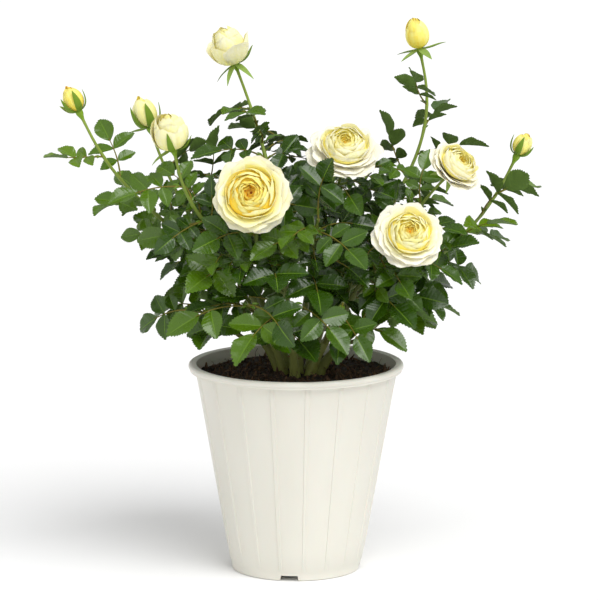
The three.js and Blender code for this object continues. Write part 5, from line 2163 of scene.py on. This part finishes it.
    def sepals(self, flower: Flower, maker: MeshMaker) -> None:
        """Adds a flower's sepals and hip.

        Args:
            flower: the flower.
            maker: where they are added.
        """
        shape = self.SEPALS[flower.kind]
        random = Random(flower.seed * 13 + 5)
        rows, columns = self.sepal_grid
        t = np.linspace(0, 1, rows)
        closed, opened = np.array(shape.closed), np.array(shape.opened)
        for i, opening in enumerate(flower.sepals):
            knots = closed + (opened - closed) * opening
            path = Bezier(knots * flower.radius * random.between(0.93, 1.07)).points(t)
            whole = np.linalg.norm(np.diff(path, axis=0), axis=1).sum()
            path = path[0] + (path - path[0]) * mix(1, shape.length * flower.radius / whole, min(opening, 1))
            slopes = np.gradient(path, axis=0)
            angles = np.arctan2(slopes[:, 0], slopes[:, 1])[:, None]
            width = (shape.width * flower.radius * (1 - t) ** 1.1 * (0.5 + 2.0 * t) + 0.22)[:, None]
            b = np.linspace(-1, 1, columns)[None, :]
            turn = (i + 0.3) / len(flower.sepals) * 2 * math.pi
            cup = 0.35 * width * b**2
            radius = path[:, :1] - cup * np.cos(angles)
            height = path[:, 1:] + cup * np.sin(angles)
            side = b * width
            grid = self.about(turn, radius, side, height)
            maker.sheet(flower.place(grid), self.sepal_thickness, Palette.SEPAL, Palette.SEPAL_INSIDE)
        hip = np.array(self.HIP)
        if flower.kind is Kind.BUD:
            hip = hip * np.array((1.1, 1.15))
        path = flower.place(np.stack([0 * hip[:, 1], 0 * hip[:, 1], hip[:, 1]], 1))
        maker.tube(rings_along(path, hip[:, 0], self.hip_sides), Palette.HIP)

    def build(self, palette: Palette) -> list[Object]:
        """Makes the petals of each kind of flower and all the green parts, and gives them to the frame."""
        made = []
        green = MeshMaker()
        all_nodes = []
        for kind in Kind:
            maker = MeshMaker()
            nodes = []
            for shoot in self.growth.shoots:
                if shoot.flower and shoot.flower.kind is kind:
                    self.petals(shoot.flower, maker)
                    self.sepals(shoot.flower, green)
                    nodes.append(f"{kind.value}_{shoot.name}")
                    if kind is Kind.OPEN:
                        self.heart(shoot.flower, maker)
            all_nodes += nodes
            made.append(settle(maker.write(f"petals_{kind.value}", palette.petals), "petals", nodes))
        made.append(settle(green.write("hips_and_sepals", palette.sepals), "foliage", all_nodes))
        return made


# ---- the studio


@dataclass
class Studio:
    """The wide pale floor, the soft lights and the camera."""

    eye: Point = (4.0, -3600.0, 908.0)
    target: Point = (4.0, 0.0, 273.0)
    lens: float = 219.3
    sensor: float = 36.0
    far: float = 50.0
    floor_half: float = 14.0
    floor_height: float = -0.2
    sky: float = 0.57

    # Each light's name, the place that it shines from, its width in degrees and its strength.
    LIGHTS = (("key_light", (1.4, -2.1, 3.2), 45.0, 2.2), ("fill_light", (-2.2, -2.0, 1.2), 80.0, 0.35))

    def build(self, palette: Palette) -> None:
        """Makes everything round the plant."""
        self.floor(palette)
        for row in self.LIGHTS:
            self.light(*row)
        world = bpy.data.worlds.new("studio")
        world.use_nodes = True
        background = world.node_tree.nodes["Background"].inputs
        background["Color"].default_value = (1, 1, 1, 1)
        background["Strength"].default_value = self.sky
        bpy.context.scene.world = world
        bpy.context.scene.view_settings.view_transform = "Standard"
        self.camera()

    def floor(self, palette: Palette) -> None:
        """Makes the floor."""
        half = self.floor_half / MM
        maker = MeshMaker()
        maker.add(np.array([[(x, y, self.floor_height) for x in (-half, half)] for y in (-half, half)]),
                  grid_quads(2, 2))
        maker.write("studio_floor", [palette.stage])

    def light(self, name: str, place: Point, angle: float, strength: float) -> None:
        """Adds a soft light.

        Args:
            name: its name.
            place: the place that it shines from, towards the origin.
            angle: how wide it is, in degrees.
            strength: its strength.
        """
        data = bpy.data.lights.new(name, "SUN")
        data.angle = math.radians(angle)
        data.energy = strength
        lamp = link(name, data)
        lamp.location = place
        lamp.rotation_euler = Vector(place).to_track_quat("Z", "Y").to_euler()

    def camera(self) -> None:
        """Adds the camera and makes it the scene's."""
        data = bpy.data.cameras.new("camera")
        data.lens = self.lens
        data.sensor_width = self.sensor
        data.clip_end = self.far
        camera = link("camera", data)
        camera.location = Vector(self.eye) * MM
        aim = Vector(self.target) - Vector(self.eye)
        camera.rotation_euler = aim.to_track_quat("-Z", "Y").to_euler()
        bpy.context.scene.camera = camera


def corners(bounds: Iterable[Iterable[float]]) -> list[list[float]]:
    """A box's corners as plain lists of numbers."""
    return [[float(number) for number in corner] for corner in bounds]


def main() -> None:
    """Builds every sub-assembly in order."""
    logging.basicConfig(level=logging.INFO, format="%(name)s: %(message)s")
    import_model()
    palette = Palette()
    Studio().build(palette)
    growth = Growth(make_canes(), make_shoots())
    growth.grow_main()
    finer = Finer(growth)
    finer.grow()
    Pot().build(palette)
    Compost().build(palette)
    Woodwork(growth, finer).build(palette)
    Foliage(growth, finer).build(palette)
    Blossom(growth).build(palette)


if __name__ == "__main__":
    main()
